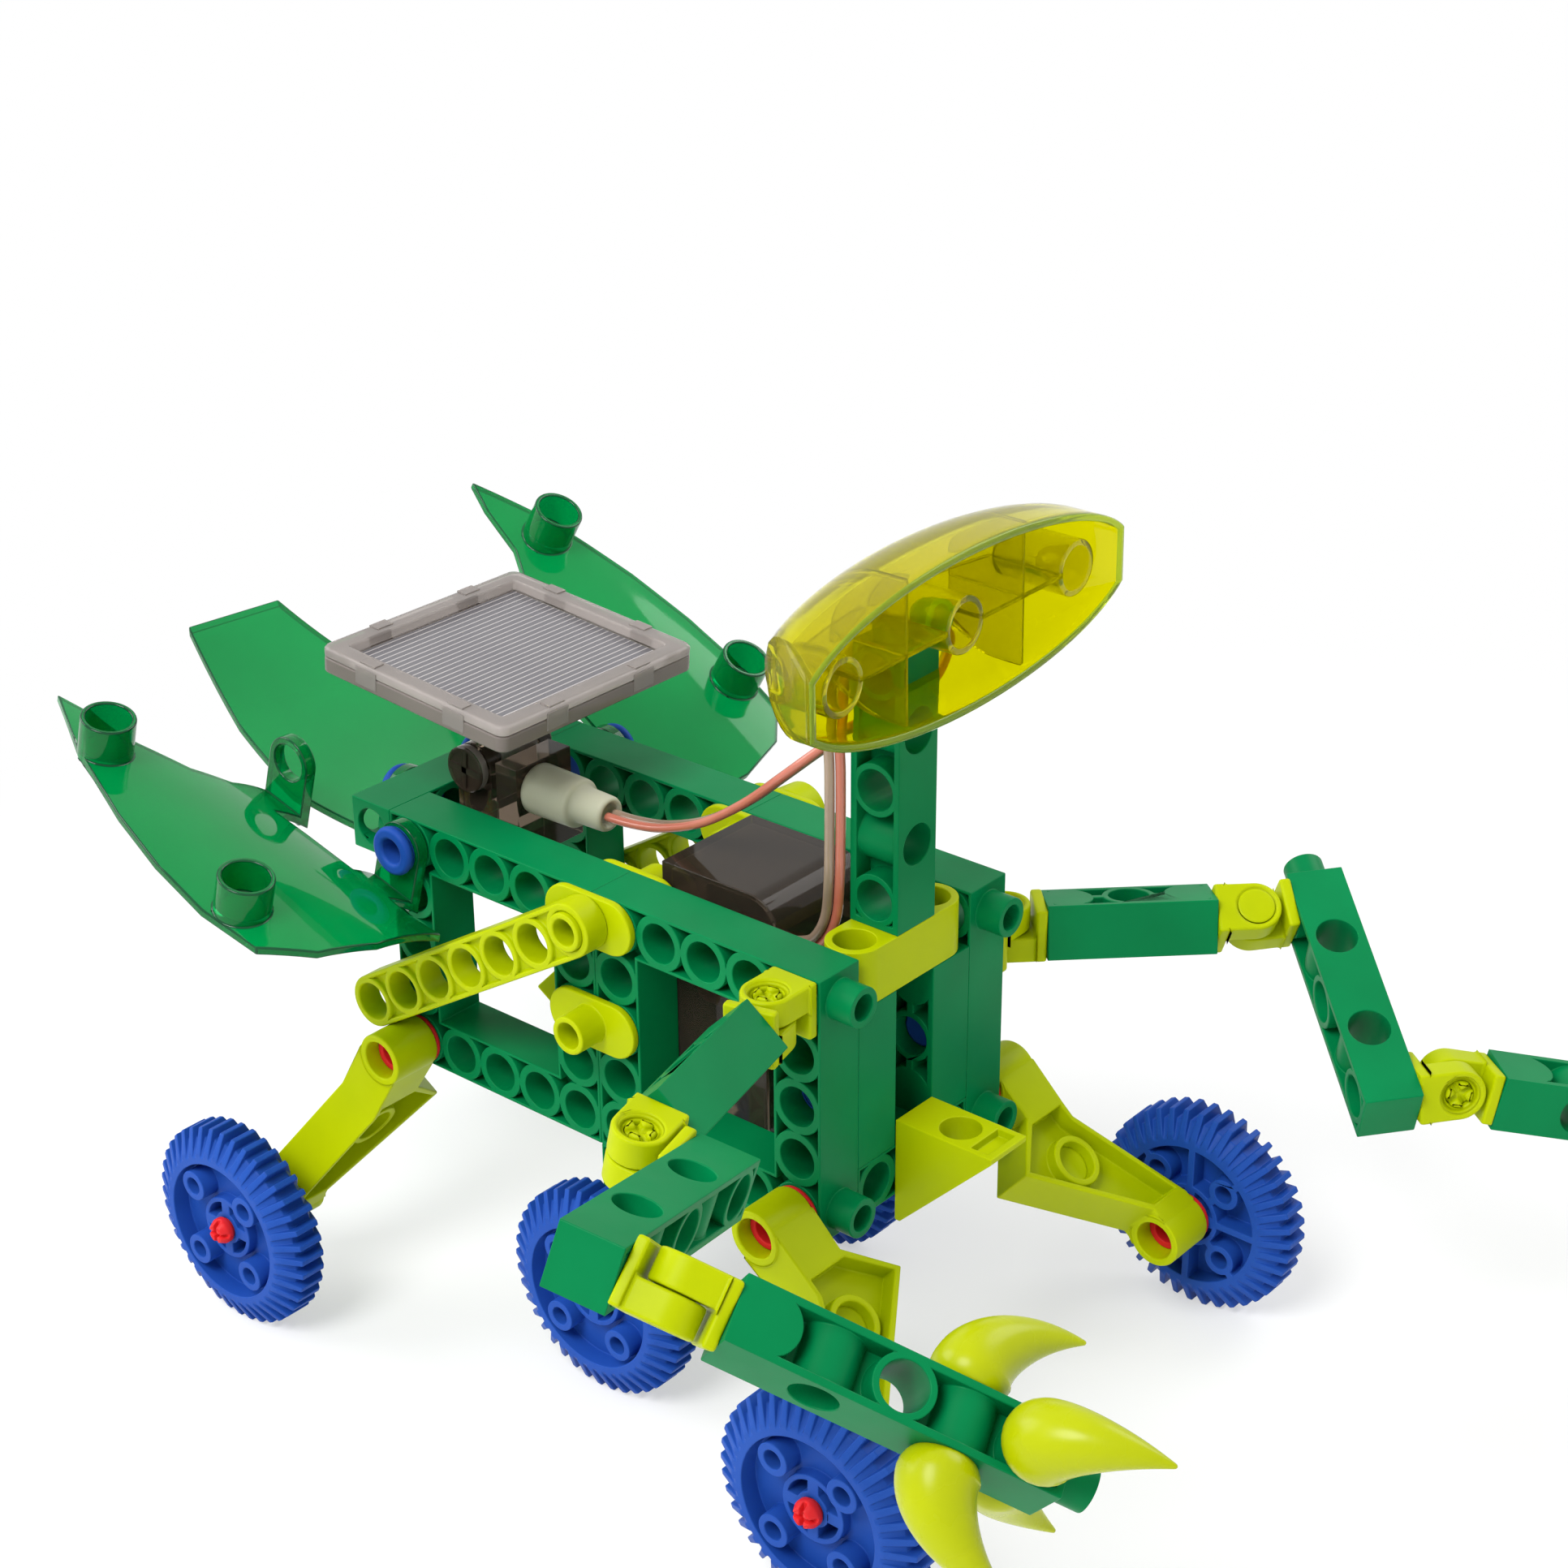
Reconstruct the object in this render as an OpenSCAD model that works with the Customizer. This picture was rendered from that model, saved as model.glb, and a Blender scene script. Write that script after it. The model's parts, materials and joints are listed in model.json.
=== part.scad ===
/* [Grid] */
// Pitch of the holes and pegs
pitch = 10; // [9:0.5:12]
// Radius of a peg hole
bore_r = 3.6; // [3:0.1:3.8]
// Radial play of a peg in its hole
peg_gap = 0.05; // [0.02:0.01:0.09]
// Length of a peg that sticks out
peg_len = 5; // [3:0.5:5]
// Radius of the hollow in a peg
peg_hollow_r = 2.3; // [1:0.1:2.6]
// Length of a short peg inside a seam
seam_peg = 1.1; // [0.6:0.1:1.2]
// Thin wall along the edge of a rail
edge_wall = 0.6; // [0.4:0.1:0.8]
// Depth of the pockets between the rings
pocket_depth = 3; // [1:0.5:4]
// Skin of a dual beam's plain faces
beam_skin = 1.2; // [0.8:0.1:1.4]
// Middle web of an open beam
beam_web = 2; // [1:0.5:3]

/* [Hinges and arms] */
// From the back of a hinge flange to its axis
hinge_reach = 7; // [6.5:0.1:8]
// Thickness of a hinge flange
flange_t = 2; // [1.4:0.1:2.2]
// Width of a hinge flange
flange_w = 9.2; // [8:0.1:9.4]
// Radius of a hinge tongue
tongue_r = 4.5; // [3.8:0.1:4.6]
// Radius of a hinge pin
hinge_pin_r = 2.4; // [1.8:0.1:2.8]
// Angle of the near arm at the body
near_fold_1 = 14.4; // [0:0.1:30]
// Twist of the near elbow hinge
near_twist_2 = -11.6; // [-30:0.1:30]
// Fold of the near elbow
near_fold_2 = 91; // [60:1:91]
// Roll of the near forearm
near_roll_2 = 162.2; // [150:0.1:180]
// Twist of the near wrist hinge
near_twist_3 = -25.8; // [-40:0.1:0]
// Fold of the near wrist
near_fold_3 = -24.5; // [-40:0.1:30]
// Roll of the near hand
near_roll_3 = -20.5; // [-40:0.1:10]
// Roll of the near upper rod
near_rod_roll = -45; // [-90:1:0]
// Angle of the far arm at the body
far_fold_1 = -45.9; // [-60:0.1:-30]
// Twist of the far elbow hinge
far_twist_2 = 37.9; // [20:0.1:50]
// Fold of the far elbow
far_fold_2 = 5; // [-20:1:20]
// Roll of the far forearm
far_roll_2 = 165.5; // [150:0.1:180]
// Twist of the far wrist hinge
far_twist_3 = 61.1; // [40:0.1:80]
// Fold of the far wrist
far_fold_3 = 16; // [-10:1:30]
// Roll of the far hand
far_roll_3 = 185.5; // [170:0.1:200]
// Roll of the far upper rod
far_rod_roll = -10; // [-45:1:45]
// How far a claw's tip reaches past its root
claw_len = 13.5; // [10:0.5:18]
// How far a claw's tip stands off the hand's face
claw_spread = 14; // [11:0.5:16]
// Radius of a claw's root
claw_root_r = 5.8; // [4.6:0.1:6]

/* [Wheels and legs] */
// Nose-down pitch of the body on its wheels
body_pitch = 3.2; // [0:0.1:4]
// Tip radius of a gear wheel
wheel_r = 20; // [16:0.5:20]
// Width of a gear wheel
wheel_w = 10; // [8:0.5:11]
// Number of teeth
wheel_teeth = 40; // [24:2:48]
// Height of a tooth
tooth_h = 2; // [1.4:0.1:2.4]
// Width of the full-height land of the teeth
wheel_land = 5; // [3:0.5:6]
// How far the bevel cuts in at the wheel's faces
wheel_bevel = 4.8; // [3:0.1:5]
// Radius of the dished part of a wheel
dish_r = 13.5; // [12.5:0.1:14]
// Depth of the dish
dish_depth = 3.6; // [2:0.1:3.8]
// Radius of the shaft in a wheel's hub
shaft_r = 2; // [1.6:0.1:2.4]
// Hip to foot distance of a leg
leg_len = 40; // [37:0.5:44]
// Length of a leg's hip boss
boss_len = 10; // [9:0.5:11]
// From a leg's inner face to the end of its foot boss
foot_reach = 22; // [20:0.5:24]
// Radius of a leg's bosses
boss_r = 5; // [5:0.1:5.4]
// Thickness of a leg's plate
leg_t = 9.6; // [9:0.1:9.8]
// Depth of the recess in a leg's plate
leg_recess = 3.8; // [1:0.1:4]
// Thickness of a red washer
washer_t = 1; // [0.8:0.1:1.4]
// Gap between moving faces
face_gap = 0.2; // [0.1:0.05:0.3]

/* [Wings and tail] */
// Thickness of a wing panel
wing_t = 1.6; // [1.2:0.1:2.4]
// Radius of the wing's curve
wing_arc_r = 56; // [54:1:60]
// Tilt of the near wing
near_wing_tilt = 16; // [10:1:22]
// Tilt of the far wing
far_wing_tilt = 30; // [24:1:30]
// Thickness of an ear on a panel
ear_t = 2.5; // [2:0.1:3]
// Height of the tubes on a wing
wing_tube_h = 9; // [6:0.5:12]
// Radius of the tail's curve
tail_arc_r = 118; // [116:1:130]

/* [Head] */
// Width of the head between its cut ends
head_w = 80.8; // [72:0.1:82]
// Height of the head at its middle
head_h = 27.8; // [26.5:0.1:30]
// Half length of the oval the head is cut from
head_oval = 42.3; // [41.8:0.1:48]
// Depth of the straight rim in front of the domed back
head_rim = 7; // [6.6:0.1:9]
// Wall of the head shell
head_wall = 1.6; // [1.2:0.1:2.2]

/* [Solar panel] */
// Length of the panel
panel_l = 46; // [40:1:50]
// Width of the panel
panel_w = 49; // [40:1:50]
// Thickness of the tray
tray_t = 3; // [2.5:0.1:4]
// Thickness of the clear lid
lid_t = 2; // [1.2:0.1:2.4]
// Thickness of the cell
cell_t = 0.8; // [0.6:0.1:1]
// Width of the rim round the cell
cell_rim = 4; // [3:0.5:6]
// Tilt of the panel
panel_tilt = 4.5; // [0:0.5:10]
// Height of the tray above the tilt axis
panel_rise = 17; // [16:0.5:20]
// Radius of the tilt knuckle
knuckle_r = 4.4; // [3.8:0.1:4.6]
// Radius of the plug's body
plug_r = 4.8; // [4:0.1:5]
// Radius of the plug's sleeve
plug_sleeve_r = 3.4; // [2.8:0.1:3.8]

/* [Motor case and wire] */
// Wall of the motor case
case_wall = 1.4; // [1:0.1:2]
// Radius of the case's rounded top edge
case_round = 6; // [4:0.5:8]
// Radius of the motor
motor_r = 8.5; // [7:0.5:9]
// Radius of one strand of the twin wire
strand_r = 0.8; // [0.6:0.1:0.9]

/* [Hidden] */
$fn = 48;
cut = 1;
bond = 0.5;
half = pitch / 2;
side_in = 1.5 * pitch;
side_out = 2.5 * pitch;
peg_r = bore_r - peg_gap;
ring_r = half + 0.1;
lime_wall = 0.9;
row = 2 * pitch;
post_len = 3 * pitch;
beam_len = 5 * pitch;
tube_hollow_r = peg_hollow_r + 0.15;
lime_pocket = 1;
axle_z = -5 * pitch;
axle_x = -4.5 * pitch;
hip_z = -row;
front_x = -half;
rear_x = -9.5 * pitch;
function level(x, z) = z * cos(body_pitch) - x * sin(body_pitch);
axle_level = level(axle_x, axle_z);
front_drop = asin((level(front_x, hip_z) - axle_level) / leg_len) - body_pitch;
rear_drop = asin((level(rear_x, hip_z) - axle_level) / leg_len) + body_pitch;
drive_hub = [axle_x, 0, axle_z];
front_foot = [front_x + leg_len * cos(front_drop), 0, hip_z - leg_len * sin(front_drop)];
rear_foot = [rear_x - leg_len * cos(rear_drop), 0, hip_z - leg_len * sin(rear_drop)];
leg_in = side_out + washer_t + 0.1;
foot_out = leg_in + foot_reach;
foot_in = foot_reach - boss_len;
wheel_in = foot_out + washer_t + face_gap;
drive_in = side_out + 2 * face_gap;
hub_r = shaft_r + peg_gap;
hub_gap_r = 5.2;
hub_sink = 1.5;
hub_face = wheel_in + wheel_w - hub_sink + 0.3;
plate_t = 3;
tee_t = 1.5;
tube_len = 5.8;
long_beam_t = 5;
long_beam_drop = 32;
head_z = side_out + beam_len + half + 0.6;
head_front = 11;
head_mid = head_front - head_rim;
head_back = head_mid - head_h / 2;
head_tube = head_front - 2.2;
case_x0 = -4.6 * pitch;
case_x1 = -2 * pitch;
case_top = side_out + 2;
case_step = side_in - plate_t - face_gap;
case_waist = half + 7;
tilt_x = rear_x - 0.5;
tilt_z = 29;
base_front = -8.4 * pitch;
plug_z = 26.3;
plug_y = -3.2;
plug_step = base_front + 11;
plug_end = plug_step + 7;
ear_y = side_out + face_gap;
wing_axis_w = 36;
wing_axis_n = -54;
tail_root = -11 * pitch;
tail_axis_r = -9;
tail_low = 12.8;
tail_axis_z = tail_arc_r + tail_low;

module rod_x(r, x0, x1) rotate([0, 90, 0]) translate([0, 0, x0]) cylinder(r = r, h = x1 - x0);
module rod_y(r, y0, y1) rotate([-90, 0, 0]) translate([0, 0, y0]) cylinder(r = r, h = y1 - y0);
module rod_z(r, z0, z1) translate([0, 0, z0]) cylinder(r = r, h = z1 - z0);
module stand() rotate([0, body_pitch, 0]) translate([-peg_len, 0, 0]) children();
module far_side() mirror([0, 1, 0]) children();
module both_sides() {
    children();
    far_side() children();
}

// Hollow peg along +X from the origin
module peg(len) difference() {
    rod_x(peg_r, -bond, len);
    rod_x(peg_hollow_r, 0, len + cut);
}

// Square frame with holes all round, in the XZ plane
module rail_circles(r)
    for (i = [-2:2], k = [-2:2])
        if (abs(i) == 2 || abs(k) == 2)
            translate([i * pitch, k * pitch])
                circle(r = r);
module frame_pocket() difference() {
    square(5 * pitch - 2 * edge_wall, center = true);
    square(3 * pitch + 2 * edge_wall, center = true);
    rail_circles(ring_r);
}
module frame(mid_x, front_peg, rear_peg, foot_socket) {
    difference() {
        translate([mid_x, -side_in, 0])
            rotate([90, 0, 0])
                linear_extrude(pitch) difference() {
                    square(5 * pitch, center = true);
                    square(3 * pitch, center = true);
                    rail_circles(bore_r);
                }
        for (y = [-side_in + cut, -side_out + pocket_depth])
            translate([mid_x, y, 0])
                rotate([90, 0, 0])
                    linear_extrude(pocket_depth + cut)
                        frame_pocket();
        for (z = rear_peg ? [-row] : [-row, row])
            translate([mid_x - side_out, -row, z])
                rod_x(bore_r, -cut, seam_peg + 0.3);
        if (foot_socket)
            translate([axle_x, -row, -side_out])
                rod_z(bore_r, -cut, seam_peg + 0.3);
    }
    for (z = [-row, row])
        translate([mid_x + side_out, -row, z])
            peg(front_peg);
    if (rear_peg)
        translate([mid_x - side_out, -row, row])
            mirror([1, 0, 0])
                peg(peg_len);
}
module rear_frame() color("seagreen") frame(-7.5 * pitch, seam_peg, true, false);
module front_frame() color("seagreen") frame(-2.5 * pitch, peg_len, false, true);

// Bar with a row of holes along X, holes along Z
module bar_circles(n, r)
    for (i = [0:n - 1])
        translate([(i - (n - 1) / 2) * pitch, 0])
            circle(r = r);
module hole_bar(n) difference() {
    linear_extrude(pitch, center = true) difference() {
        square([n * pitch, pitch], center = true);
        bar_circles(n, bore_r);
    }
    for (s = [0, 1])
        mirror([0, 0, s])
            translate([0, 0, half - pocket_depth])
                linear_extrude(pocket_depth + cut) difference() {
                    square([n * pitch - 2 * edge_wall, pitch - 2 * edge_wall], center = true);
                    bar_circles(n, ring_r);
                }
}

// Stadium plate with a row of holes along X
module stadium(n, inset) {
    square([(n - 1) * pitch, pitch - 2 * inset], center = true);
    for (s = [-1, 1])
        translate([s * (n - 1) * half, 0])
            circle(r = half - inset);
}
module lime_bar(n, t) difference() {
    linear_extrude(t, center = true) difference() {
        stadium(n, 0);
        bar_circles(n, bore_r);
    }
    for (s = [0, 1])
        mirror([0, 0, s])
            translate([0, 0, t / 2 - lime_pocket])
                linear_extrude(lime_pocket + cut) difference() {
                    stadium(n, lime_wall);
                    bar_circles(n, ring_r - 0.3);
                }
}

// Beam along X with plain faces on Z and open sides on Y
module beam_side(start, len, rings) difference() {
    translate([start, -half + beam_skin])
        square([len - start - beam_skin, pitch - 2 * beam_skin]);
    for (x = rings)
        translate([x, 0])
            circle(r = half - 0.3);
}
module beam_pockets(start, len, rings, posts) difference() {
    for (s = [0, 1])
        mirror([0, s, 0])
            translate([0, half + cut, 0])
                rotate([90, 0, 0])
                    linear_extrude(half + cut - beam_web / 2)
                        beam_side(start, len, rings);
    for (x = posts)
        translate([x, 0, 0])
            rod_z(half - 0.5, -half, half);
}
module dual_beam(capped, pegged) {
    rings = [half, beam_len / 2, beam_len - half];
    posts = [1.5 * pitch, 3.5 * pitch];
    difference() {
        translate([0, -half, -half])
            cube([beam_len, pitch, pitch]);
        beam_pockets(capped ? half : beam_skin, beam_len, rings, posts);
        for (x = rings)
            if (!capped || x > half)
                translate([x, 0, 0])
                    rod_y(bore_r, -half - cut, half + cut);
        for (x = posts)
            translate([x, 0, 0])
                rod_z(bore_r, -half - cut, half + cut);
        if (capped)
            rod_x(bore_r, -cut, peg_len + 0.3);
    }
    if (pegged)
        translate([beam_len, 0, 0])
            peg(peg_len);
}
module short_rod(sockets) difference() {
    translate([0, -half, -half])
        cube([post_len, pitch, pitch]);
    difference() {
        beam_pockets(beam_skin, post_len, [half - 1, post_len / 2, post_len - half + 1], []);
        translate([0, -half - cut, -0.7])
            cube([post_len, pitch + 2 * cut, 1.4]);
    }
    translate([post_len / 2, 0, 0])
        rod_y(bore_r, -half - cut, half + cut);
    if (sockets) {
        rod_x(bore_r, -cut, peg_len + 0.3);
        rod_x(bore_r, post_len - peg_len - 0.3, post_len + cut);
    }
}

module rear_beam() color("seagreen")
    translate([-10.5 * pitch, 0, row])
        difference() {
            rotate([90, 0, 90])
                hole_bar(5);
            both_sides()
                rod_y(bore_r, -side_out - cut, -row);
        }
module top_beam() color("yellowgreen")
    translate([-half, 0, row])
        rotate([0, 0, 90])
            linear_extrude(pitch, center = true) difference() {
                stadium(3, 0);
                bar_circles(3, bore_r);
            }
module front_posts() color("seagreen")
    both_sides()
        translate([-half, -pitch, -side_in])
            rotate([0, -90, 0]) {
                short_rod(false);
                translate([post_len, 0, 0])
                    peg(peg_len);
            }
module centre_post() color("seagreen")
    translate([-1.5 * pitch, 0, -side_in])
        rotate([0, 0, 90])
            rotate([0, -90, 0])
                short_rod(false);
module bottom_beam() color("seagreen")
    translate([-half, 0, -row])
        rotate([90, 0, 90])
            hole_bar(3);
module wedge() color("yellowgreen") {
    difference() {
        rotate([90, 0, 0])
            linear_extrude(pitch, center = true)
                polygon([[0, -pitch], [row, -pitch], [row, -pitch - 1], [1, -3 * pitch], [0, -3 * pitch]]);
        translate([pitch, 0, 0])
            rod_z(bore_r, -3 * pitch, -pitch + cut);
        translate([1.5 * pitch, -half + 1.2, -pitch - 1.5])
            cube([half - 1.5, pitch - 2.4, 2.5]);
    }
    translate([0, 0, -row])
        mirror([1, 0, 0])
            peg(peg_len);
}
module neck() color("seagreen")
    translate([-half, 0, side_out]) {
        rotate([0, -90, 0])
            dual_beam(false, true);
        rod_z(peg_r, -peg_len, bond);
    }

// Head shell: an oval rim, open to the front, with a domed back
function oval_points(inset) = [for (t = [0:5:355])
    [(head_oval - inset) * cos(t), (head_h / 2 - inset) * sin(t)]];
module head_outline(inset) intersection() {
    polygon(oval_points(inset));
    square([head_w - 2 * inset, 2 * head_h], center = true);
}
module head_dome(inset) intersection() {
    rotate([90, 0, 0])
        rotate_extrude() intersection() {
            rotate(90)
                head_outline(inset + 0.1);
            translate([0, -head_w])
                square(2 * head_w);
        }
    translate([-head_w, -head_w, -head_w])
        cube([head_w, 2 * head_w, 2 * head_w]);
}
module head_solid(inset, x1) translate([head_mid, 0, head_z]) {
    rotate([90, 0, 90])
        linear_extrude(x1 - head_mid)
            head_outline(inset);
    translate([0.01, 0, 0])
        head_dome(inset);
}
module head() color("yellow") {
    saddle_z = side_out + beam_len;
    difference() {
        union() {
            difference() {
                head_solid(0, head_front);
                head_solid(head_wall, head_front + cut);
            }
            intersection() {
                head_solid(head_wall / 2, head_tube);
                union() {
                    for (y = [-3 * pitch, 0, 3 * pitch])
                        translate([0, y, head_z])
                            rod_x(half, head_back, head_tube);
                    translate([head_back, -head_w / 2, head_z - 0.7])
                        cube([head_tube - head_back, head_w, 1.4]);
                    for (y = [-1.5 * pitch, 1.5 * pitch])
                        translate([head_back, y - 0.7, head_z - head_h / 2])
                            cube([head_tube - head_back, 1.4, head_h]);
                    translate([head_back, -half, head_z - head_h / 2])
                        cube([pitch, pitch, head_h / 2]);
                }
            }
        }
        for (y = [-3 * pitch, 0, 3 * pitch])
            translate([0, y, head_z])
                rod_x(bore_r, -1, head_front);
        translate([-half, 0, saddle_z])
            rod_z(bore_r, -head_h, peg_len + 0.3);
        translate([-pitch - half, -half - face_gap, saddle_z - head_h])
            cube([pitch + half + face_gap, pitch + 2 * face_gap, head_h]);
    }
}
module head_peg() color("limegreen")
    translate([0, 0, head_z])
        difference() {
            rod_x(peg_r, -1, 4);
            rod_x(peg_hollow_r, 1, half);
        }

// Motor case, open at the bottom
module case_profile(inset) {
    x0 = case_x0 + inset;
    x1 = case_x1 - inset;
    top = case_top - inset;
    translate([x0, -side_out])
        square([x1 - x0, top + side_out - case_round]);
    translate([x0, 0])
        square([x1 - x0 - case_round, top]);
    translate([x1 - case_round, top - case_round])
        circle(r = case_round);
}
module case_block(inset) {
    rotate([90, 0, 0])
        linear_extrude(2 * (case_step - inset), center = true)
            case_profile(inset);
    translate([case_x0 + inset, -side_in + inset, -side_out])
        cube([case_x1 - case_x0 - 2 * inset, 2 * (side_in - inset), side_out + case_waist - inset]);
}
module motor_case() color("gray", 0.5)
    difference() {
        case_block(0);
        translate([0, 0, -0.01])
            case_block(case_wall);
    }
module motor() color("orangered") {
    x0 = case_x0 + case_wall;
    translate([0, 0, half]) {
        rod_x(motor_r, x0 + 3, case_x1 - case_wall - 3);
        rod_x(motor_r - 3, x0, case_x1 - case_wall);
    }
}
module axle_posts() color("seagreen")
    both_sides() {
        translate([axle_x, -row, -4 * pitch])
            rotate([90, 90, 0])
                hole_bar(3);
        translate([axle_x, -row, -side_out])
            rod_z(peg_r, -0.1, seam_peg);
    }
module drive_axle() color("dimgray")
    translate([axle_x, 0, axle_z]) {
        rod_y(peg_r, -drive_in, drive_in);
        rod_y(shaft_r, -drive_in - wheel_w + 2, drive_in + wheel_w - 2);
    }

// Gear wheel on Z, dished face up
function tooth_corners(root, tip) = [[root, -0.4], [tip, -0.18], [tip, 0.18], [root, 0.4]];
function tooth_points(n, root, tip) = [for (i = [0:n - 1], k = tooth_corners(root, tip))
    k[0] * [cos((i + k[1]) * 360 / n), sin((i + k[1]) * 360 / n)]];
module ring_area() difference() {
    circle(r = dish_r);
    circle(r = hub_gap_r + 1);
    for (a = [45:90:315])
        rotate(a)
            translate([dish_r - 3.6, 0])
                circle(r = 3);
}
module hub_gaps() difference() {
    circle(r = hub_gap_r);
    circle(r = shaft_r + 1.2);
    for (a = [0, 90])
        rotate(a)
            square([2 * dish_r, 2.2], center = true);
}
module wheel_body(rim, face) rotate_extrude()
    polygon([[0, -wheel_w / 2], [face, -wheel_w / 2], [rim, -wheel_land / 2], [rim, wheel_land / 2],
        [face, wheel_w / 2], [0, wheel_w / 2]]);
module wheel() difference() {
    edge_r = wheel_r - wheel_bevel;
    union() {
        wheel_body(wheel_r - tooth_h, edge_r - 0.4);
        intersection() {
            linear_extrude(wheel_w, center = true)
                polygon(tooth_points(wheel_teeth, dish_r - 0.5, wheel_r));
            wheel_body(wheel_r + 0.1, edge_r);
        }
    }
    translate([0, 0, wheel_w / 2 - dish_depth])
        linear_extrude(dish_depth + cut)
            ring_area();
    translate([0, 0, wheel_w / 2 - hub_sink])
        linear_extrude(hub_sink + cut)
            circle(r = hub_gap_r + 1);
    translate([0, 0, -wheel_w / 2 - cut])
        linear_extrude(dish_depth + cut) difference() {
            ring_area();
            for (a = [0:45:135])
                rotate(a)
                    square([2 * wheel_r, 1.4], center = true);
        }
    translate([0, 0, -wheel_w / 2 - cut])
        linear_extrude(wheel_w + 2 * cut)
            hub_gaps();
    rod_z(hub_r, -wheel_w, wheel_w);
    for (a = [45:90:315])
        rotate(a)
            translate([dish_r - 3.6, 0, 0])
                rod_z(1.7, -wheel_w, wheel_w);
}
module near_wheel(hub, y_in) color("royalblue")
    translate(hub + [0, -y_in - wheel_w / 2, 0])
        rotate([90, 0, 0])
            wheel();

// Stepped leg from hip to foot along X, outward along Z
module leg_plate() polygon([[0, 0.2], [9.3, 0.2], [17.5, -8.5], [leg_len - 4.4, foot_in + 0.2],
    [leg_len, foot_in + 0.2], [leg_len, foot_reach - 0.2], [leg_len - 3.7, foot_reach - 0.2],
    [13.7, boss_len - 0.2], [0, boss_len - 0.2]]);
module leg_pocket() polygon([[10.9, 0.4], [17.4, -6.9], [leg_len - 5.2, foot_in + 1.2],
    [leg_len - 5.2, foot_reach - 2.1], [14.2, boss_len - 1], [10.9, boss_len - 1.1]]);
module leg() {
    tube = [20.5, 0, 5.4];
    tube_half = boss_r - 1.55;
    difference() {
        union() {
            difference() {
                rotate([90, 0, 0])
                    linear_extrude(leg_t, center = true)
                        leg_plate();
                for (s = [0, 1])
                    mirror([0, s, 0])
                        translate([0, leg_t / 2 + cut, 0])
                            rotate([90, 0, 0])
                                linear_extrude(leg_recess + cut)
                                    leg_pocket();
            }
            rod_z(boss_r, 0, boss_len);
            translate([leg_len, 0, 0])
                rod_z(boss_r, foot_in, foot_reach);
            translate(tube)
                rod_y(boss_r - 0.1, -tube_half, tube_half);
        }
        rod_z(bore_r, -cut, boss_len + cut);
        translate([leg_len, 0, 0])
            rod_z(bore_r, foot_in - cut, foot_reach + cut);
        translate(tube)
            rod_y(bore_r, -pitch, pitch);
    }
}
module near_leg(hip_x, angle) color("yellowgreen")
    translate([hip_x, -leg_in, hip_z])
        rotate([90, 0, 0])
            rotate([0, 0, angle])
                leg();
module snap_head() difference() {
    union() {
        rod_z(2.5, 0, 1.2);
        translate([0, 0, 1.2])
            cylinder(r1 = 2.5, r2 = 1.7, h = 1.4);
    }
    for (a = [0, 90])
        rotate(a)
            translate([0, 0, 2.2])
                cube([2 * half, 0.8, 2], center = true);
}
module near_foot_pin(foot) color("red")
    translate(foot) {
        difference() {
            union() {
                rod_y(peg_r, -foot_out - bond, -foot_out + 6);
                rod_y(boss_r - 0.3, -foot_out - washer_t, -foot_out);
                rod_y(shaft_r, -hub_face - bond, -foot_out);
            }
            rod_y(peg_hollow_r, -foot_out + 3, -leg_in);
        }
        translate([0, -hub_face, 0])
            rotate([90, 0, 0])
                snap_head();
    }
module hip_pins() color("red")
    both_sides()
        for (x = [front_x, rear_x])
            translate([x, 0, hip_z])
                difference() {
                    union() {
                        rod_y(peg_r, -leg_in - boss_len + plate_t, -side_in - 2);
                        rod_y(boss_r - 0.3, -side_out - washer_t, -side_out);
                    }
                    rod_y(peg_hollow_r, -leg_in - boss_len, -side_out);
                }

// Two-peg plate with a tube, on the near side at height z
module tee_plate(z) translate([-5 * pitch, 0, z]) {
    difference() {
        union() {
            translate([0, -side_out, 0])
                rotate([90, 0, 0])
                    linear_extrude(tee_t)
                        stadium(2, 0);
            rod_y(peg_r, -side_out - tee_t - tube_len, -side_out);
            for (x = [-half, half])
                translate([x, 0, 0])
                    rod_y(peg_r, -side_out - bond, -side_out + 3.5);
        }
        rod_y(tube_hollow_r, -side_out - tee_t - tube_len - cut, -side_out - 1);
    }
}
module tee_plates() color("yellowgreen") {
    tee_plate(row);
    tee_plate(0);
    far_side()
        tee_plate(row);
    both_sides()
        translate([0, -side_out - side_in, 0])
            far_side()
                tee_plate(row);
}
module long_beams() color("yellowgreen")
    both_sides()
        translate([-5 * pitch, -side_out - tee_t - long_beam_t / 2, row])
            rotate([90, 180 - long_beam_drop, 0])
                translate([3 * pitch, 0, 0])
                    lime_bar(7, long_beam_t);
module blue_pins() color("mediumblue") {
    both_sides() {
        translate([rear_x, 0, row])
            difference() {
                union() {
                    rod_y(peg_r, -ear_y - ear_t - 2, -side_in - 1);
                    rod_y(half - 0.4, -ear_y - ear_t - 2.3, -ear_y - ear_t - 0.3);
                }
                rod_y(peg_hollow_r, -side_out - pitch, -row);
            }
        translate([front_x, 0, 0])
            difference() {
                rod_y(peg_r, -row, -half - 3);
                rod_y(peg_hollow_r, -row - cut, -side_in);
            }
        translate([tail_root, -pitch, row])
            difference() {
                union() {
                    rod_x(peg_r, -ear_t - bond, half);
                    rod_x(half - 0.4, -ear_t - 2, -ear_t);
                }
                rod_x(peg_hollow_r, -pitch, 0);
            }
    }
}

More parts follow.
